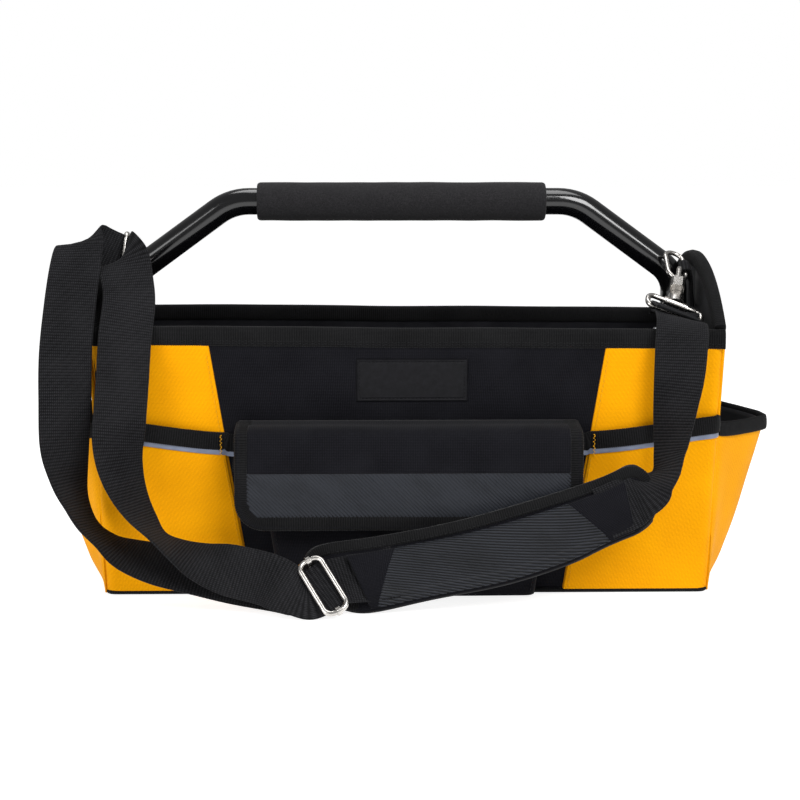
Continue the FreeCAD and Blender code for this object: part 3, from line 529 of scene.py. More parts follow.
GLOSS = ribbed_gloss()
REFLECTIVE = reflective_tape()
LABEL = plain("label_rubber", "Object", 0.55, (0.004, 4.0),
              ((0.3, (0.004, 0.004, 0.005)), (0.8, (0.009, 0.009, 0.011))),
              (0.0004, 2.0), (0.00003, 0.5), (0.004, 4.0, 0.42, 0.6), Specular_IOR_Level=0.12)
BLACK_THREAD = thread("black_thread", (0.012, 0.012, 0.014))
YELLOW_THREAD = thread("yellow_thread", (0.95, 0.46, 0.01))
NICKEL = metal("nickel_plate", (0.50, 0.48, 0.455), (0.68, 0.655, 0.625), 0.16, 0.34)
STEEL = metal("zinc_plate", (0.45, 0.46, 0.48), (0.62, 0.63, 0.65), 0.3, 0.5)
PAINT = plain("gloss_black_paint", "Object", 0.14, (0.02, 4.0),
              ((0.3, (0.0015, 0.0015, 0.002)), (0.8, (0.004, 0.004, 0.0045))),
              (0.003, 3.0), (0.00003, 0.4), (0.006, 5.0, 0.1, 0.24),
              Coat_Weight=0.5, Coat_Roughness=0.05, Specular_IOR_Level=0.4)
FOAM = foam_rubber()


def dress(names, material):
    for name in names:
        slots = NODES[name].data.materials
        slots.clear()
        slots.append(material)


dress(["handle_tube"], PAINT)
dress(["handle_bolts", "handle_nuts", "right_bolt_spring", "left_bolt_spring"], STEEL)
dress(["slider_frame", "slider_bar"] + [side + part for side in ("left_", "right_")
      for part in ("d_ring", "hook_body", "hook_bolt", "swivel_eye")], NICKEL)
dress(["base_board", "front_stiffener", "back_stiffener", "left_end_stiffener", "right_end_stiffener"], LABEL)

# ---------------------------------------------------------------- walls

def make_walls():
    for back, name in WALLS:
        def black(u, z, back=back):
            x = u * (black_half(z) + 6)
            out = sag(x, 0, z, 70, 0.7) * smooth((RIM_Z - z) / 40) * smooth(z / 30)
            return wall_point(x, z, out - 0.2, back)

        cloth(name + "_panel_cloth", [panel(black, (-1, 1), (BASE_Z, RIM_Z - 2), 90, 60, 1.5, back)],
              BLACK, "bag", "black_fabric", name + "_panel")
        for side, end in SIDES[::-1]:
            def yellow(u, z, back=back, side=side):
                x_in, x_out = black_half(z), half_x(z) + 8
                x = x_in + (x_out - x_in) * u
                hem = smooth(min(u * (x_out - x_in) / 5, 1.0))
                calm = smooth(u * 3) * smooth((RIM_Z - z) / 50) * smooth(z / 40)
                out = 0.55 + 0.35 * hem + sag(x * side, 40 * back, z, 48, 1.9) * calm
                return wall_point(side * x, z, out, back)

            flip = back != (side < 0)
            cloth("%s_%s_yellow" % (name, end),
                  [panel(yellow, (0, 1), (BASE_Z, RIM_Z - 9), 44, 70, 1.0, flip=flip)], YELLOW, "bag",
                  "yellow_fabric", "yellow_panel_%s_%s" % (name, end))
            seam = [wall_point(side * (black_half(z) + 2.6), z, 1.05, back)
                    for z in np.linspace(4, RIM_Z - 17, 60)]
            out = [(0, 1 if back else -1, 0)] * 60
            cloth("%s_%s_seam" % (name, end), [stitch_data(seam, out, *SEAM_STITCH)], YELLOW_THREAD, "bag",
                  "yellow_fabric")


def end_wall_data(side, inset, thick, z_low, flip, y_trim=0.0):
    def place(u, v):
        y_rim = half_y(RIM_Z) - inset - y_trim
        top = ear_top(u * y_rim) - 1.5 - inset * 0.1
        z = z_low + (top - z_low) * v
        hy = min(half_y(z), half_y(RIM_Z)) - inset - y_trim
        out = sag(40 * side, u * hy, z, 60, 0.6) * smooth((1 - abs(u)) * 5)
        return (side * (min(half_x(z), half_x(RIM_Z)) - inset + out), u * hy, z)
    return panel(place, (-1, 1), (0, 1), 60, 60, thick, flip)


def make_ends():
    for side, name in SIDES:
        cloth(name + "_end_cloth", [end_wall_data(side, 0.3, 1.4, BASE_Z, side < 0, 5.0)], BLACK,
              "bag", "black_fabric", name + "_end_panel")
        for back, wall in WALLS:
            path = [wall_point(side * (half_x(z) - CORNER_R + 9.0), z, 1.2, back)
                    for z in np.linspace(3, RIM_Z - 10, 60)]
            at, centres = resample(path, 2.0)
            out = np.tile(unit(np.array([side * 0.8, 0.6 if back else -0.6, 0.0])), (len(centres), 1))
            welt = sweep_data(at, centres, np.cross(out, UP), out, oval_section(1.7, 1.5))
            cloth("%s_%s_corner_welt" % (name, wall), [welt], YELLOW, "bag", "yellow_fabric")


def make_lining():
    inset = 4.1

    def inner(back):
        def place(u, z):
            x = u * (half_x(z) - 5.2)
            wave = sag(x, 90 * back, z, 55, 1.4) * smooth((1 - abs(u)) * 8) * smooth((RIM_Z - 12 - z) / 50)
            y = half_y(z) - inset - abs(wave) * 0.8
            return (x, y if back else -y, z)
        return panel(place, (-1, 1), (7.6, RIM_Z - 3), 80, 40, 0.8, flip=not back)

    def ground(u, v):
        lift = sag(u * 200, v * 100, 0, 80, 0.5)
        return (u * (half_x(7) - 5.3), v * (half_y(7) - 5.3), 7.4 + abs(lift))

    sheets = [inner(False), inner(True), panel(ground, (-1, 1), (-1, 1), 60, 40, 0.8)]
    sheets += [end_wall_data(side, inset, 0.8, 7.6, side > 0, 0.8) for side in (1, -1)]
    cloth("lining_cloth", sheets, LINING, "bag", "lining", "lining")


def make_base():
    def plate(u, v):
        return (u * (half_x(0) - 1.5), v * (half_y(0) - 1.5), 1.75)

    cloth("bottom_cloth", [panel(plate, (-1, 1), (-1, 1), 40, 24, 1.6)], BLACK, "bag", "black_fabric",
          "bottom_panel")
    loop = []
    for cx, cy, a0 in ((1, -1, -90), (1, 1, 0), (-1, 1, 90), (-1, -1, 180)):
        for k in range(9):
            angle = math.radians(a0 + 90 * k / 8)
            loop.append((cx * (half_x(0) - 6) + 6.6 * math.cos(angle),
                         cy * (half_y(0) - 6) + 6.6 * math.sin(angle), 2.2))
    loop.append(loop[0])
    at, centres = resample(loop, 1.0)
    up = np.tile(UP, (len(centres), 1))
    piping = sweep_data(at, centres, unit(np.cross(heading(centres), up)), up, oval_section(1.9, 1.7))
    cloth("base_piping", [piping], BINDING, "bag", "binding")


def make_rims():
    for back, name in WALLS:
        xs = np.linspace(-half_x(RIM_Z) - 1.0, half_x(RIM_Z) + 1.0, 120)
        away = 1 if back else -1
        path = [(x, away * (half_y(RIM_Z) - WALL / 2 + sag(x, 0, 50 * back, 60, 0.5)),
                 RIM_Z - 0.2 - 0.0075 * x + sag(x, 7, 0, 70, 0.7)) for x in xs]
        depth, face = [(0, 0, -1)] * 120, [(0, away, 0)] * 120
        section = fold_section(12.6, 11.0, WALL, TAPE_THICK)
        binding(name + "_rim_tape", path, depth, face, section, "bag", "binding", name + "_rim_binding")
        threads = []
        for drop in (11.2, 9.4):
            zig = [(p[0], p[1] + away * (WALL / 2 + TAPE_THICK + 0.35), p[2] - drop + 0.45 * (-1) ** k)
                   for k, p in enumerate(resample(path, 2.2)[1])]
            threads.append(stitch_data(zig, [(0, away, 0)] * len(zig), 2.0, 0.5, 0.26))
        cloth(name + "_rim_stitches", threads, BLACK_THREAD, "bag", "binding")


def make_ear_tapes():
    for side, name in SIDES:
        ys = np.linspace(-half_y(RIM_Z) + 1.5, half_y(RIM_Z) - 1.5, 80)
        path = [(side * (half_x(RIM_Z) - WALL / 2), y, ear_top(y) + 0.2) for y in ys]
        depth = [(0, -y / EAR_R, -(ear_top(y) - EAR_CENTRE_Z) / EAR_R) for y in ys]
        face = [(side, 0, 0)] * len(ys)
        section = fold_section(10.5, 9.5, WALL + 1.0, TAPE_THICK)
        binding(name + "_ear_tape", path, depth, face, section, "bag", "binding", name + "_ear_binding")
        rows = []
        for lip in (-1, 1):
            out = lip * (WALL / 2 + 0.5 + TAPE_THICK + 0.15)
            line = [(p[0] + out, p[1] + d[1] * 9.0, p[2] + d[2] * 9.0) for p, d in zip(path, depth)]
            rows.append(stitch_data(line, [(lip, 0, 0)] * len(path), *EAR_STITCH))
        cloth(name + "_ear_stitches", rows, BLACK_THREAD, "bag", "binding")


make_walls()
make_ends()
make_lining()
make_base()
make_rims()
make_ear_tapes()

# ---------------------------------------------------------------- front corner pockets

MOUTH_IN, MOUTH_OUT = 119.5, 133.0


def mouth_z(x):
    """Height of a corner pocket's top edge at a distance from the middle of the bag."""
    t = (x - 132.0) / (229.0 - 132.0)
    return MOUTH_IN + (MOUTH_OUT - MOUTH_IN) * smooth(0.15 + 0.7 * t) if t > 0 else MOUTH_IN + t * 6


def pocket_out(x, z):
    """How far a corner pocket stands off the wall; its edges are sewn down."""
    t = (x - black_half(z)) / (half_x(z) - black_half(z))
    rise = z / 125.0
    bow = math.sin(math.pi * min(max(t, 0.0), 1.0)) ** 0.6
    return 1.9 + 6.0 * rise * rise * bow


def make_corner_pockets():
    for side, name in SIDES:
        def place(u, v, side=side):
            z_guess = BASE_Z + v * 120
            x_in, x_out = black_half(z_guess) + 0.5, half_x(z_guess) + 7.0
            x = x_in + (x_out - x_in) * u
            z = BASE_Z + (mouth_z(x) - 6 - BASE_Z) * v
            calm = smooth(u * 4) * smooth((1 - u) * 4) * smooth(v * 4)
            out = pocket_out(x, z) + sag(side * x, 20, z, 42, 1.8) * calm
            return wall_point(side * x, z, out)

        cloth("front_%s_pocket_cloth" % name, [panel(place, (0, 1), (0, 1), 52, 60, 1.4, flip=side < 0)],
              YELLOW, "bag", "yellow_fabric", "front_%s_pocket" % name)
        seam = []
        for z in np.linspace(4, MOUTH_IN - 16, 40):
            x = black_half(z) + 3.2
            seam.append(wall_point(side * x, z, pocket_out(x, z) + 0.15))
        cloth("front_%s_pocket_seam" % name, [stitch_data(seam, [FRONT] * 40, *SEAM_STITCH)], YELLOW_THREAD,
              "bag", "yellow_fabric")

        xs = np.linspace(black_half(118) - 9, half_x(130) + 5, 90)
        path = [wall_point(side * x, mouth_z(x), pocket_out(x, mouth_z(x)) - 0.6) for x in xs]
        ahead = heading(path) * side
        face = unit(np.cross(ahead, UP))
        depth = np.cross(ahead, face)
        depth = depth * np.sign(-depth[:, 2:3])
        section = fold_section(BAND_TALL, BAND_TALL - 1, 1.4, HEM_THICK)
        binding("front_%s_band" % name, path, depth, face, section, "bag", "binding",
                "front_%s_pocket_band" % name, rib=(1.4, 0.2))

        path = [wall_point(side * x, mouth_z(x) - BAND_TALL - STRIP_TALL / 2 + 0.6,
                           pocket_out(x, mouth_z(x) - BAND_TALL) + 0.4) for x in xs]
        at, centres, up, out = resample(path, 2.0, -depth, face)
        section = round_section(STRIP_TALL / 2, 0.45, 6, 4)
        cloth("front_%s_strip" % name, [sweep_data(at, centres, unit(up), unit(out), section)], REFLECTIVE,
              "bag", "reflective", "front_%s_reflective_strip" % name)

        x = black_half(112) + 3.5
        heights = np.arange(mouth_z(x) - BAND_TALL - STRIP_TALL - 1, mouth_z(x) - 0.5, 1.5)
        tack = [wall_point(side * (x + 0.8 * (-1) ** k), z, pocket_out(x, z) + 1.35)
                for k, z in enumerate(heights)]
        cloth("front_%s_bar_tack" % name, [stitch_data(tack, [FRONT] * len(tack), 1.7, 0.15, 0.3)],
              YELLOW_THREAD, "bag", "yellow_fabric")


make_corner_pockets()

# ---------------------------------------------------------------- centre pocket and flap


def centre_pocket_size(z):
    """Half width and depth of the centre pocket at a height."""
    return 93 + 19 * z / 124, 14 + 13 * z / 124


def make_centre_pocket():
    top, corner = 123.0, 7.0

    def place(u, v):
        z = BASE_Z + (top - BASE_Z) * v
        half, depth = centre_pocket_size(z)
        s = abs(u) * (half + depth)
        if s < half - corner:
            x, y = s, depth
        elif s < half - corner + corner * math.pi / 2:
            angle = (s - half + corner) / corner
            x, y = half - corner + corner * math.sin(angle), depth - corner + corner * math.cos(angle)
        else:
            x, y = half, depth - corner - (s - half + corner - corner * math.pi / 2)
        y = max(y, 0.2)
        puff = sag(x * (1 if u > 0 else -1), 0, z, 50, 1.5) * smooth((1 - abs(u)) * 6)
        return ((1 if u >= 0 else -1) * x, -half_y(z) - y - puff, z)

    cloth("centre_pocket_cloth", [panel(place, (-1, 1), (0, 1), 120, 50, 1.4)], BLACK, "bag",
          "black_fabric", "centre_pocket")
    rows = []
    for side in (-1, 1):
        line = []
        for z in np.linspace(5, 60, 20):
            half, depth = centre_pocket_size(z)
            line.append((side * (half - 4), -half_y(z) - depth - 0.3, z))
        rows.append(stitch_data(line, [FRONT] * 20, 2.4, 1.2, 0.25))
    cloth("centre_pocket_stitches", rows, BLACK_THREAD, "bag", "black_fabric")
    for side, name in SIDES:
        path = [wall_point(side * (121 + 1.5 * t), 118 - 26 * t, 1.2 + 0.6 * math.sin(3.1 * t))
                for t in np.linspace(0, 1, 12)]
        at, centres, across, out = resample(path, 0.4, [(1, 0, 0)] * 12, [FRONT] * 12)
        tab = sweep_data(at, centres, across, out, round_section(6.0, 0.7, 8, 4), (2.0, 0.25))
        cloth(name + "_side_tab", [tab], WEBBING, "bag", "webbing")


FLAP_PROFILE = catmull([(-118.9, 128.9), (-128, 127.6), (-140, 125.9), (-147.4, 122.2), (-149.6, 114.5),
                        (-150.3, 102), (-150.0, 84), (-149.2, 68), (-148.0, 55.0)], 8)
FLAP_LENGTHS = run_lengths(FLAP_PROFILE)
FLAP_LONG = FLAP_LENGTHS[-1]


def flap_point(x, s, lift=0.0):
    """Point of the flap's outer face, s millimetres down from its seam."""
    y, z = follow(s, FLAP_LENGTHS, FLAP_PROFILE)
    ahead = follow(s + 0.5, FLAP_LENGTHS, FLAP_PROFILE) - follow(s - 0.5, FLAP_LENGTHS, FLAP_PROFILE)
    size = math.hypot(*ahead) or 1.0
    ny, nz = ahead[1] / size, -ahead[0] / size
    lift += sag(x, 5, s, 60, 1.0) * smooth(s / FLAP_LONG * 3)
    return (x, y + ny * lift, z + nz * lift)


def flap_half(s):
    deep = s - (FLAP_LONG - FLAP_CORNER)
    if deep <= 0:
        return FLAP_HALF
    return FLAP_HALF - FLAP_CORNER + math.sqrt(max(FLAP_CORNER ** 2 - deep * deep, 0.0))


def make_flap():
    inset = 1.0

    def place(u, s):
        return flap_point(u * (flap_half(min(s, FLAP_LONG - 1.2)) - inset), s)

    cloth("flap_cloth", [panel(place, (-1, 1), (0, FLAP_LONG - inset), 110, 50, 1.6)], BLACK, "flap",
          "black_fabric", "pocket_flap")
    split = FLAP_LONG - 43.0

    def fold(u, v):
        s = 2.0 + (split - 0.5) * v
        swell = 0.5 + 0.9 * smooth(v * 3 - 0.5)
        return flap_point(u * (FLAP_HALF - 8.5), s, swell)

    cloth("flap_upper_fold", [panel(fold, (-1, 1), (0, 1), 110, 50, 1.2)], BLACK, "flap", "black_fabric")

    def rib(x, s):
        limit = flap_half(s + 6) - 7
        wave = abs(math.sin(math.pi * (x - s) / RIB_PITCH))
        return flap_point(max(min(x, limit), -limit), s, 0.35 + 0.75 * wave), (x - s, s)

    strip = mapped(rib, (-FLAP_HALF + 8, FLAP_HALF - 8), (split - 1, FLAP_LONG - 9.5), 860, 110)
    cloth("flap_ribs", [strip], GLOSS, "flap", "ribbed", "flap_ribbed_strip")

    inner_x, inner_s = FLAP_HALF - FLAP_CORNER, FLAP_LONG - FLAP_CORNER
    half = [(FLAP_HALF, s) for s in np.linspace(2, inner_s, 30)]
    for angle in np.linspace(0, math.pi / 2, 15)[1:-1]:
        half.append((inner_x + FLAP_CORNER * math.cos(angle), inner_s + FLAP_CORNER * math.sin(angle)))
    lower = [(x, FLAP_LONG) for x in np.linspace(-inner_x, inner_x, 40)]
    flat = [(-x, s) for x, s in half] + lower + half[::-1]
    path = np.array([flap_point(x, s, -0.6) for x, s in flat])
    above = np.array([flap_point(x, s, 0.4) for x, s in flat])
    face = unit(above - path)
    depth = unit(np.cross(face, heading(path)))
    middle = np.array([0, -148, 100.0])
    depth *= np.sign(np.sum((middle - path) * depth, axis=1, keepdims=True))
    section = fold_section(11.6, 9.4, 2.4, HEM_THICK)
    binding("flap_tape", path, depth, face, section, "flap", "binding", "flap_binding")
    row = [tuple(p + d * 10.2 + f * 2.15) for p, d, f in zip(path, depth, face)]
    threads = [stitch_data(row, face, *TAPE_STITCH)]
    threads.append(stitch_data([flap_point(x, split + 0.2, 1.75) for x in np.linspace(-114, 114, 60)],
                               [FRONT] * 60, *TAPE_STITCH))
    cloth("flap_stitches", threads, BLACK_THREAD, "flap", "binding")
    tape_patch("flap_fastener", "flap_hook_tape", "flap")
    tape_patch("pocket_fastener", "pocket_loop_tape", "bag")


def tape_patch(name, node, body):
    """Fuzzy fastener tape with rounded edges in the place of its CAD plate."""
    low, high = box_mm(node)
    centre_y, half_thick = (low[1] + high[1]) / 2, (high[1] - low[1]) / 2
    lean = (high[1] - low[1] - 0.8) / (high[2] - low[2])

    def place(u, v):
        x = low[0] + (high[0] - low[0]) * u
        z = low[2] + (high[2] - low[2]) * v
        nap = 0.25 * noise.noise(Vector((x * 1.3, z * 1.3, 2.0)))
        return (x, centre_y - half_thick + 0.1 + nap - (lean * (z - low[2]) if body == "bag" else 0), z)

    cloth(name, [panel(place, (0, 1), (0, 1), 80, 26, 0.8)], FUZZ, body, "tape", node)


make_centre_pocket()
make_flap()

# ---------------------------------------------------------------- end pockets and label


def end_pocket_point(side, u, v, grow=0.0):
    """u runs from the front seam (0) to the back seam (1), v from the base to the lip."""
    z = BASE_Z + (END_LIP_Z - BASE_Z) * v
    bulge = END_BASE_BULGE + (END_LIP_BULGE - END_BASE_BULGE) * v ** 0.55
    y = END_LIP_HALF * math.cos(math.pi * (1 - u))
    across = math.sin(math.pi * u)
    front = max((y + END_LIP_HALF) / (END_LIP_HALF - END_RIDGE), 1e-4) ** 0.9
    rear = max((END_LIP_HALF - y) / (END_LIP_HALF + END_RIDGE), 1e-4) ** 0.75
    bow = 1.1 * (front ** -8 + rear ** -8) ** -0.125
    calm = smooth(v * 6) * smooth((0.5 - abs(u - 0.5)) * 12)
    fold = 2.4 * math.sin(9 * math.pi * u) * (1 - v) ** 0.5 * across * calm
    lift = 3.0 * (1 - across) ** 1.5 * v
    out = min(bulge * bow, bulge) + fold + sag(side * 60, y, z, 45, 2.0) * across * smooth(v * 3)
    return (side * (half_x(z) + 1.4 + out + grow), y, z + lift)


def make_end_pockets():
    for side, name in SIDES:
        def place(u, v, side=side):
            return end_pocket_point(side, u, v)

        cloth(name + "_end_pocket_cloth", [panel(place, (0, 1), (0, 1), 110, 50, 1.4, flip=side > 0)],
              YELLOW, "bag", "yellow_fabric", name + "_end_pocket")

        def inner(u, v, side=side):
            return end_pocket_point(side, 0.04 + 0.92 * u, 0.03 + 0.95 * v, -1.9)

        cloth(name + "_end_pocket_inner", [panel(inner, (0, 1), (0, 1), 80, 36, 0.6, flip=side > 0)],
              LINING, "bag", "lining")
        path = np.array([end_pocket_point(side, u, 1.0) for u in np.linspace(0.0, 1.0, 90)])
        up = np.tile(-UP, (len(path), 1))
        face = unit(np.cross(heading(path), up)) * side
        path = path - face * 0.7
        section = fold_section(10.0, 9.4, 1.6, HEM_THICK)
        binding(name + "_end_pocket_tape", path, up, face, section, "bag", "binding",
                name + "_end_pocket_binding")
        row = [tuple(p + np.array([0, 0, -8.8]) + f * 1.9) for p, f in zip(path, face)]
        cloth(name + "_end_pocket_stitches", [stitch_data(row, face, *TAPE_STITCH)], BLACK_THREAD, "bag",
              "binding")


def make_label():
    low, high = box_mm("label_patch")
    mid_x, mid_z = (low[0] + high[0]) / 2, (low[2] + high[2]) / 2
    half_w, half_h = (high[0] - low[0]) / 2, (high[2] - low[2]) / 2

    def raised(dx, dz):
        edge = min(half_w - abs(dx), half_h - abs(dz))
        rim = smooth(edge / 0.8) * 1.5
        groove = -0.55 * math.exp(-((edge - 2.1) / 0.5) ** 2)
        return 0.3 + rim + groove

    xs = mid_x + half_w * np.sin(np.linspace(-math.pi / 2, math.pi / 2, 130))
    zs = mid_z + half_h * np.sin(np.linspace(-math.pi / 2, math.pi / 2, 80))
    points = np.array([[(x, -half_y(z) - raised(x - mid_x, z - mid_z), z) for z in zs] for x in xs])
    cloth("label_rubber", [cloth_data(points, points[:, :, [0, 2]], 0.8)], LABEL, "bag", "label",
          "label_patch")
    w, h = half_w - 2.1, half_h - 2.1
    ring = [(-w, -h), (w, -h), (w, h), (-w, h), (-w, -h)]
    path = []
    for (x0, z0), (x1, z1) in zip(ring, ring[1:]):
        for t in np.linspace(0, 1, 20)[:-1]:
            x, z = mid_x + x0 + (x1 - x0) * t, mid_z + z0 + (z1 - z0) * t
            path.append((x, -half_y(z) - 1.35, z))
    cloth("label_stitches", [stitch_data(path, [FRONT] * len(path), 1.9, 0.9, 0.3)], BLACK_THREAD, "bag",
          "label")


make_end_pockets()
make_label()

# ---------------------------------------------------------------- handle grip and ring loops


def make_grip():
    low, high = box_mm("handle_grip")
    radius, centre_z = (high[2] - low[2]) / 2 + 0.7, (high[2] + low[2]) / 2
    half = (high[0] - low[0]) / 2
    mid_x = (high[0] + low[0]) / 2 - 2.0
    bore = radius - 4.3
    profile = [(x, radius) for x in np.linspace(-half + 3, half - 3, 90)]
    cap = [(half - 3 + 3 * math.sin(a), radius - 2.2 + 2.2 * math.cos(a))
           for a in np.linspace(0.3, math.pi / 2, 5)]
    outer = [(-x, r) for x, r in cap[::-1]] + profile + cap
    ring = [(-half, bore)] + outer + [(half, bore)]
    verts, uvs, faces, around = [], [], [], 56
    for i, (x, r) in enumerate(ring):
        for k in range(around):
            angle = 2 * math.pi * k / around
            y, z = math.cos(angle), math.sin(angle)
            if r >= radius - 1:
                wave = 0.28 * noise.noise(Vector((x / 22, y * 1.5, z * 1.5)))
            else:
                wave = 0.0
            verts.append((mid_x + x, (r + wave) * y, centre_z + (r + wave) * z))
            uvs.append((x, angle * radius))
    for i in range(len(ring) - 1):
        for k in range(around):
            a, b = i * around + k, i * around + (k + 1) % around
            faces.append((a, a + around, b + around, b)[::-1])
    last = (len(ring) - 1) * around
    for k in range(around):
        b = (k + 1) % around
        faces.append((last + k, k, b, last + b)[::-1])
    piece = mesh_object("grip_foam", verts, faces, uvs, FOAM)
    finish_piece(piece, "bag", "foam", "handle_grip")


def make_ring_loops():
    """Short webbing loop round each D-ring's bar, its tails sewn down inside the ear."""
    bar = np.array([0, -math.cos(RING_TILT), -math.sin(RING_TILT)])
    for side, name in SIDES:
        mid = np.array(RING_BAR) * (side, 1, 1)
        out = np.array([side, 0.0, 0.0])
        up = np.cross(bar, out)
        up = up * np.sign(up[2])
        turns = np.radians(np.linspace(-100, 160, 16))
        loop = [mid - out * RING_WRAP * math.cos(a) + up * RING_WRAP * math.sin(a) for a in turns]
        wall_x = half_x(RIM_Z) - WALL - 1.9
        first, last = loop[0], loop[-1]
        tail_low = [np.array([side * (wall_x - 2.2), first[1] + 1, first[2] - 6]),
                    np.array([side * (wall_x - 1.4), first[1] + 2, first[2] - 26])]
        tail_top = [np.array([side * (wall_x - 2.5), last[1] + 0.5, last[2] - 3]),
                    np.array([side * (wall_x - 0.2), last[1] + 2, last[2] - 30])]
        stations = catmull(np.array(tail_low[::-1] + loop + tail_top), 4)
        at, centres = resample(stations, 0.45)
        ahead = heading(centres)
        across = square_to(ahead, bar)
        section = round_section(6.0, 0.75, 8, 4)
        webbing = sweep_data(at, centres, across, np.cross(ahead, across), section, (2.2, 0.2))
        cloth(name + "_loop_webbing", [webbing], WEBBING, "bag", "webbing", name + "_ring_loop")


make_grip()
make_ring_loops()

# ---------------------------------------------------------------- shoulder strap and pad

STRAP_HALF, STRAP_THICK = 19.0, 1.7

SLIDE = unit(np.array([0.88, 0.25, 0.42]))
SLIDER_MID = np.array([-61.0, -184.5, 20.1])

# The webbing's direction across itself at the slider and at the two eyes.
SLIDER = (-0.48, 0.57, 0.665)
RIGHT_EYE, LEFT_EYE = (-0.93, 0.0, 0.36), (0.10, 0.35, 0.93)


def on_slider(distance):
    return tuple(SLIDER_MID + SLIDE * distance)


PAD_TOP = resample(catmull([(-80.2, -162.5, 42.9), (-62.1, -163.0, 46.7), (-21.9, -165.6, 52.4),
                            (32.3, -163.5, 62.3), (87.4, -160.3, 76.8), (136.2, -157.3, 92.2),
                            (159.1, -155.8, 102.3), (172.3, -155, 100.7)], 12), 1.3)[1]
PAD_LOW = resample(catmull([(-49.8, -185.5, 3), (-36, -185.2, 3.8), (-20.2, -184.8, 5.6),
                            (13.6, -180.7, 12), (67.4, -177.5, 21.9), (113.5, -174.5, 36.1),
                            (142.7, -172.4, 49.5), (176, -170, 62.5)], 12), 1.3)[1]


def pad_point(s, t, lift=0.0):
    """Point of the pad's face; s runs along it from the slider, t from its lower to its upper edge."""
    low, top = (follow(s * (len(edge) - 1), np.arange(len(edge)), edge) for edge in (PAD_LOW, PAD_TOP))
    place = low + (top - low) * t
    return (place[0], place[1] - lift * 0.92, place[2] + lift * 0.35)


def pad_half(s):
    """Half of the pad's share of t, less near its rounded ends."""
    end = 0.085
    d = min(s, 1 - s) / end
    if d >= 1:
        return 0.5
    return 0.5 * (0.52 + 0.48 * math.sqrt(max(1 - (1 - d) ** 2, 0.0)))


def pad_face(s, t, lift):
    half = pad_half(s)
    return pad_point(s, 0.5 + (t - 0.5) * 2 * half, lift)


def on_pad(s, lift):
    return pad_face(s, 0.46, lift)


# The webbing's stations: a point in millimetres, and the direction across the webbing there.
RIGHT_RUN = [
    ((201.4, -104, 206.2), RIGHT_EYE), ((201.2, -92, 206.3), RIGHT_EYE),
    ((201.0, -81, 207.6), RIGHT_EYE), ((201.2, -75.2, 206.9), RIGHT_EYE),
    ((201.2, -74.2, 203.4), RIGHT_EYE), ((201.0, -79, 201.1), RIGHT_EYE),
    ((201.0, -90, 202.0), RIGHT_EYE), ((201.0, -104, 203.2), (-0.96, 0.0, 0.24)),
    ((199.7, -122, 200.4), (-0.98, 0.0, 0.1)), ((196.8, -136.5, 186.5), (-0.96, 0.25, 0.0)),
    ((194.5, -143, 166), (-0.9, 0.44, 0.0)), ((191.9, -146, 147), (-0.76, 0.65, 0.0)),
    ((189.3, -150, 128), (-0.6, 0.8, 0.0)), ((187.0, -154, 112), (-0.42, 0.9, 0.05)),
    ((183.3, -160, 98.5), (-0.2, 0.97, 0.15)), ((174.5, -164.5, 89.5), (-0.08, 0.9, 0.4)),
    ((166.0, -168.5, 83.5), (-0.2, 0.65, 0.7)), (on_pad(0.935, 2.4), (-0.26, 0.42, 0.87)),
    (on_pad(0.89, 1.4), (-0.28, 0.3, 0.91)), (on_pad(0.84, 1.3), (-0.28, 0.3, 0.91)),
]
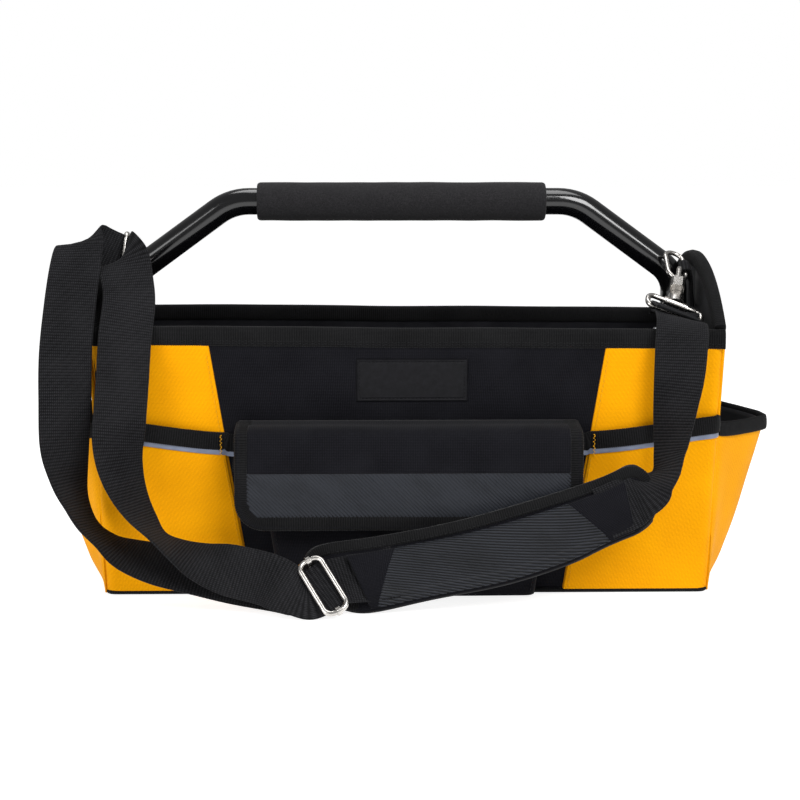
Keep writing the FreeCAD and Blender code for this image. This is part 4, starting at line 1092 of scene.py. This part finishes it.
LEFT_RUN = [
    (on_pad(0.22, 1.0), (-0.3, 0.4, 0.86)), (on_pad(0.17, 1.0), (-0.36, 0.45, 0.8)),
    (on_pad(0.115, 1.2), (-0.42, 0.5, 0.75)), (on_slider(9), SLIDER), (on_slider(0), SLIDER),
    (on_slider(-12), SLIDER), ((-84, -186, 18.6), (-0.3, 0.6, 0.74)),
    ((-101, -179.5, 25.2), (0.04, 0.44, 0.89)), ((-125, -172.5, 30.0), (0.30, 0.40, 0.86)),
    ((-148, -168, 36), (0.29, 0.8, 0.52)), ((-165, -165, 44), (0.24, 0.95, 0.16)),
    ((-179, -162, 53), (0.19, 0.97, -0.05)), ((-190, -158, 65.5), (0.38, 0.92, 0.0)),
    ((-198.6, -154, 79), (0.56, 0.82, 0.0)), ((-205, -150, 95), (0.73, 0.68, 0.0)),
    ((-208, -147, 113), (0.88, 0.47, 0.0)), ((-207.2, -143, 133), (0.99, 0.1, 0.0)),
    ((-205.5, -137, 160), (1.0, 0.05, 0.0)), ((-204, -128, 192), (0.98, 0.15, 0.0)),
    ((-202, -115, 219), (0.92, 0.35, 0.15)), ((-205.5, -103, 239), (0.75, 0.42, 0.42)),
    ((-208.0, -92.5, 249), (0.42, 0.42, 0.8)), ((-206.6, -83.2, 246.2), LEFT_EYE),
    ((-208.0, -79.8, 245.0), LEFT_EYE), ((-211.4, -79.5, 245.0), LEFT_EYE),
    ((-213.4, -82.6, 246.2), LEFT_EYE), ((-216.5, -84.2, 248.0), (0.25, 0.33, 0.88)),
    ((-223.5, -83.5, 251.0), (0.5, 0.28, 0.76)), ((-231, -83.5, 254.5), (0.78, 0.15, 0.5)),
    ((-237.3, -87, 258.5), (0.93, 0.05, 0.33)), ((-240.3, -94, 257), (0.955, 0.0, 0.297)),
    ((-242, -104.5, 243), (0.97, 0.0, 0.2)), ((-244.5, -117, 216), (0.99, 0.0, 0.1)),
    ((-246.5, -130, 183), (1.0, 0.0, 0.0)), ((-247.2, -133, 146.7), (0.96, 0.27, 0.0)),
    ((-247.8, -135, 114.5), (0.85, 0.5, 0.0)), ((-244.8, -138, 91.7), (0.6, 0.8, 0.0)),
    ((-239.6, -140, 73.4), (0.33, 0.94, 0.0)), ((-231, -144, 58), (0.2, 0.98, 0.0)),
    ((-218, -148, 47.5), (0.06, 0.98, 0.15)), ((-202, -152, 38.5), (0.2, 0.89, 0.4)),
    ((-181, -156, 32.2), (0.1, 0.78, 0.61)), ((-157, -160, 27), (0.0, 0.75, 0.66)),
    ((-125, -163, 21), (0.0, 0.66, 0.75)), ((-92, -170, 16.5), (-0.15, 0.66, 0.72)),
    ((-72, -176.5, 14.5), SLIDER),
]


def strap_data(stations):
    """Webbing along its stations, woven in relief."""
    centres = catmull([p for p, _ in stations], 14)
    across = catmull([d for _, d in stations], 14)
    at, centres, across = resample(centres, 0.42, across)
    ahead = heading(centres)
    across = square_to(ahead, across)
    normal = np.cross(across, ahead)
    section = round_section(STRAP_HALF, STRAP_THICK / 2, 27, 4)
    verts, faces, uvs = sweep_data(at, centres, across, normal, section)
    m = len(section)
    slack = np.abs(section[:, 0]) < STRAP_HALF - STRAP_THICK / 2
    face_sign = np.where(section[:, 1] > 0, 1.0, -1.0) * slack
    rows = 2 * math.pi * at / 2.2
    columns = 2 * math.pi * section[:, 0] / 2.9
    relief = -0.24 * np.cos(rows)[:, None] + 0.05 * np.cos(rows[:, None] / 2 + columns[None, :])
    shift = normal[:, None, :] * (relief * face_sign[None, :])[:, :, None]
    verts = verts.reshape(-1, m, 3) + shift
    return verts.reshape(-1, 3), faces, uvs, at[-1]


PANEL_LOW, PANEL_TOP = 0.02, 0.80
SLIDER_END = 0.16


def make_pad():
    def base(u, v):
        crown = (1 - (2 * v - 1) ** 4) * smooth(min(u, 1 - u) * 10)
        dip = 3.2 * smooth(1 - u / SLIDER_END)
        return pad_face(u, v, -1.4 + 1.6 * crown - dip + sag(u * 250, v * 50, 0, 40, 0.7))

    piece = cloth("pad_base", [panel(base, (0, 1), (0, 1), 90, 26, 5.5)], PATCH, "strap", "pad",
                  "shoulder_pad")

    def rise(u, v):
        """Height of the cover over the base: it is domed over the webbing inside."""
        inside = smooth((v - 0.04) / 0.14) * smooth((0.86 - v) / 0.14)
        mouth = 2.0 * smooth((0.19 - u) / 0.1)
        return 0.7 + (3.4 + mouth) * inside

    def patch(left, right, name):
        """Flat canvas patch; left and right give its ends at its lower and its upper edge."""
        def place(a, v):
            u = (left[0] + (left[1] - left[0]) * v) * (1 - a) + (right[0] + (right[1] - right[0]) * v) * a
            t = PANEL_LOW + (PANEL_TOP - PANEL_LOW) * v
            end = smooth(a / 0.05) * smooth((1 - a) / 0.05)
            return pad_face(u, t, rise(u, t) - 0.3 + 0.5 * end)

        cloth(name, [panel(place, (0, 1), (0, 1), 46, 34, 1.2)], PATCH, "strap", "pad")

    patch((0.095, 0.115), (0.14, 0.28), "pad_left_patch")
    patch((0.82, 0.725), (0.925, 0.918), "pad_right_patch")

    def rib(a, v):
        t = PANEL_LOW + (PANEL_TOP - PANEL_LOW) * v
        u = (0.118 + 0.135 * v) * (1 - a) + (0.846 - 0.10 * v) * a
        along, up = u * 245.0, t * 54.0
        phase = (0.94 * up + 0.34 * along) / PAD_RIB_PITCH
        point = pad_face(u, t, rise(u, t) + 0.2 + 0.55 * abs(math.sin(math.pi * phase)))
        return point, (phase * RIB_PITCH, along)

    cloth("pad_ribs", [mapped(rib, (0, 1), (0, 1), 330, 190)], GLOSS, "strap", "pad")

    def edge_dip(s, v):
        """How far the pad's edge lies under its face: more below, and more behind the slider."""
        return 3.6 * smooth(1 - v * 4) * smooth(min(s, 1 - s) * 12) + 3.4 * smooth(1 - s / SLIDER_END)

    line = [(s, 1.0) for s in np.linspace(0, 1, 120)]
    line += [(1.0, v) for v in np.linspace(1, 0, 30)[1:-1]]
    line += [(s, 0.0) for s in np.linspace(1, 0, 120)]
    line += [(0.0, v) for v in np.linspace(0, 1, 30)[1:]]
    path = [pad_face(s, v, -1.6 - edge_dip(s, v)) for s, v in line]
    path = resample(path, 3.0)[1]
    for _ in range(3):
        path[1:-1] = (path[:-2] + 2 * path[1:-1] + path[2:]) / 4
    face = np.tile(unit(np.array([-0.2, -0.93, 0.27])), (len(path), 1))
    depth = unit(np.cross(face, heading(path)))
    centre = np.array([pad_face(s, 0.5, 0)[:3] for s in np.linspace(0.06, 0.94, 80)])
    for k in range(len(path)):
        nearest = centre[np.argmin(np.linalg.norm(centre - path[k], axis=1))]
        if np.dot(nearest - path[k], depth[k]) < 0:
            depth[k] *= -1
    section = fold_section(7.0, 6.5, 3.0, 1.2)
    binding("pad_binding", path, depth, face, section, "strap", "pad", rib=(1.7, 0.3))
    row = [tuple(p + d * 6.2 + f * 2.9) for p, d, f in zip(path, depth, face)][:int(len(path) * 0.42)]
    threads = [stitch_data(row, face[:len(row)], *EAR_STITCH)]
    cloth("pad_stitches", threads, BLACK_THREAD, "strap", "pad")


def make_strap():
    right, left = strap_data(RIGHT_RUN), strap_data(LEFT_RUN)
    piece = cloth("strap_webbing", [right[:3], left[:3]], WEBBING, "strap", "webbing", "strap_main_run",
                  "strap_inner_arm", "strap_outer_arm")


make_pad()
make_strap()

# ---------------------------------------------------------------- stage, light and camera


def pale_floor():
    s = Shader("floor_pale", 0.9, Emission_Color=(1, 1, 1, 1), Emission_Strength=0.87)
    s.colour(s.ramp(s.noise(s.coords("Object"), 0.6), (0.2, (0.5, 0.5, 0.5)), (0.8, (0.5, 0.5, 0.5))))
    return s.material


def make_stage():
    size = 40.0
    mesh = bpy.data.meshes.new("floor")
    mesh.from_pydata([(-size, -size, 0), (size, -size, 0), (size, size, 0), (-size, size, 0)], [],
                     [(0, 1, 2, 3)])
    mesh.materials.append(pale_floor())
    floor = bpy.data.objects.new("floor", mesh)
    SCENE.collection.objects.link(floor)


def area_light(name, place, target, size, power, colour=(1, 1, 1)):
    data = bpy.data.lights.new(name, "AREA")
    data.shape, data.size, data.size_y = "RECTANGLE", size[0], size[1]
    data.energy, data.color = power, colour
    lamp = bpy.data.objects.new(name, data)
    lamp.location = place
    lamp.rotation_euler = (Vector(target) - Vector(place)).to_track_quat("-Z", "Y").to_euler()
    SCENE.collection.objects.link(lamp)


def make_light():
    """White seen by the camera, a dimmer world round the bag, and three soft boxes."""
    world = bpy.data.worlds.new("studio")
    SCENE.world = world
    world.use_nodes = True
    tree = world.node_tree
    tree.nodes["Background"].inputs["Color"].default_value = (1.0, 1.0, 1.0, 1)
    path = tree.nodes.new("ShaderNodeLightPath")
    level = tree.nodes.new("ShaderNodeMapRange")
    level.inputs["To Min"].default_value = 0.28
    level.inputs["To Max"].default_value = 1.0
    tree.links.new(path.outputs["Is Camera Ray"], level.inputs["Value"])
    tree.links.new(level.outputs["Result"], tree.nodes["Background"].inputs["Strength"])
    middle = (0, 0, 0.13)
    area_light("key", (1.0, -1.9, 1.7), middle, (1.1, 1.1), 46)
    area_light("fill", (-1.7, -1.6, 0.9), middle, (1.2, 1.4), 22)
    area_light("top", (0.1, 0.1, 2.0), middle, (1.6, 0.9), 18)


def make_camera():
    data = bpy.data.cameras.new("camera")
    data.lens, data.sensor_width = 86.53, 36.0
    camera = bpy.data.objects.new("camera", data)
    yaw, pitch = math.radians(1.30), math.radians(6.73)
    camera.location = (-0.0374, -1.5118, 0.3095)
    view = Vector((math.sin(yaw) * math.cos(pitch), math.cos(yaw) * math.cos(pitch), -math.sin(pitch)))
    camera.rotation_euler = view.to_track_quat("-Z", "Y").to_euler()
    SCENE.collection.objects.link(camera)
    SCENE.camera = camera


make_stage()
make_light()
make_camera()
SCENE.view_settings.view_transform = "Standard"
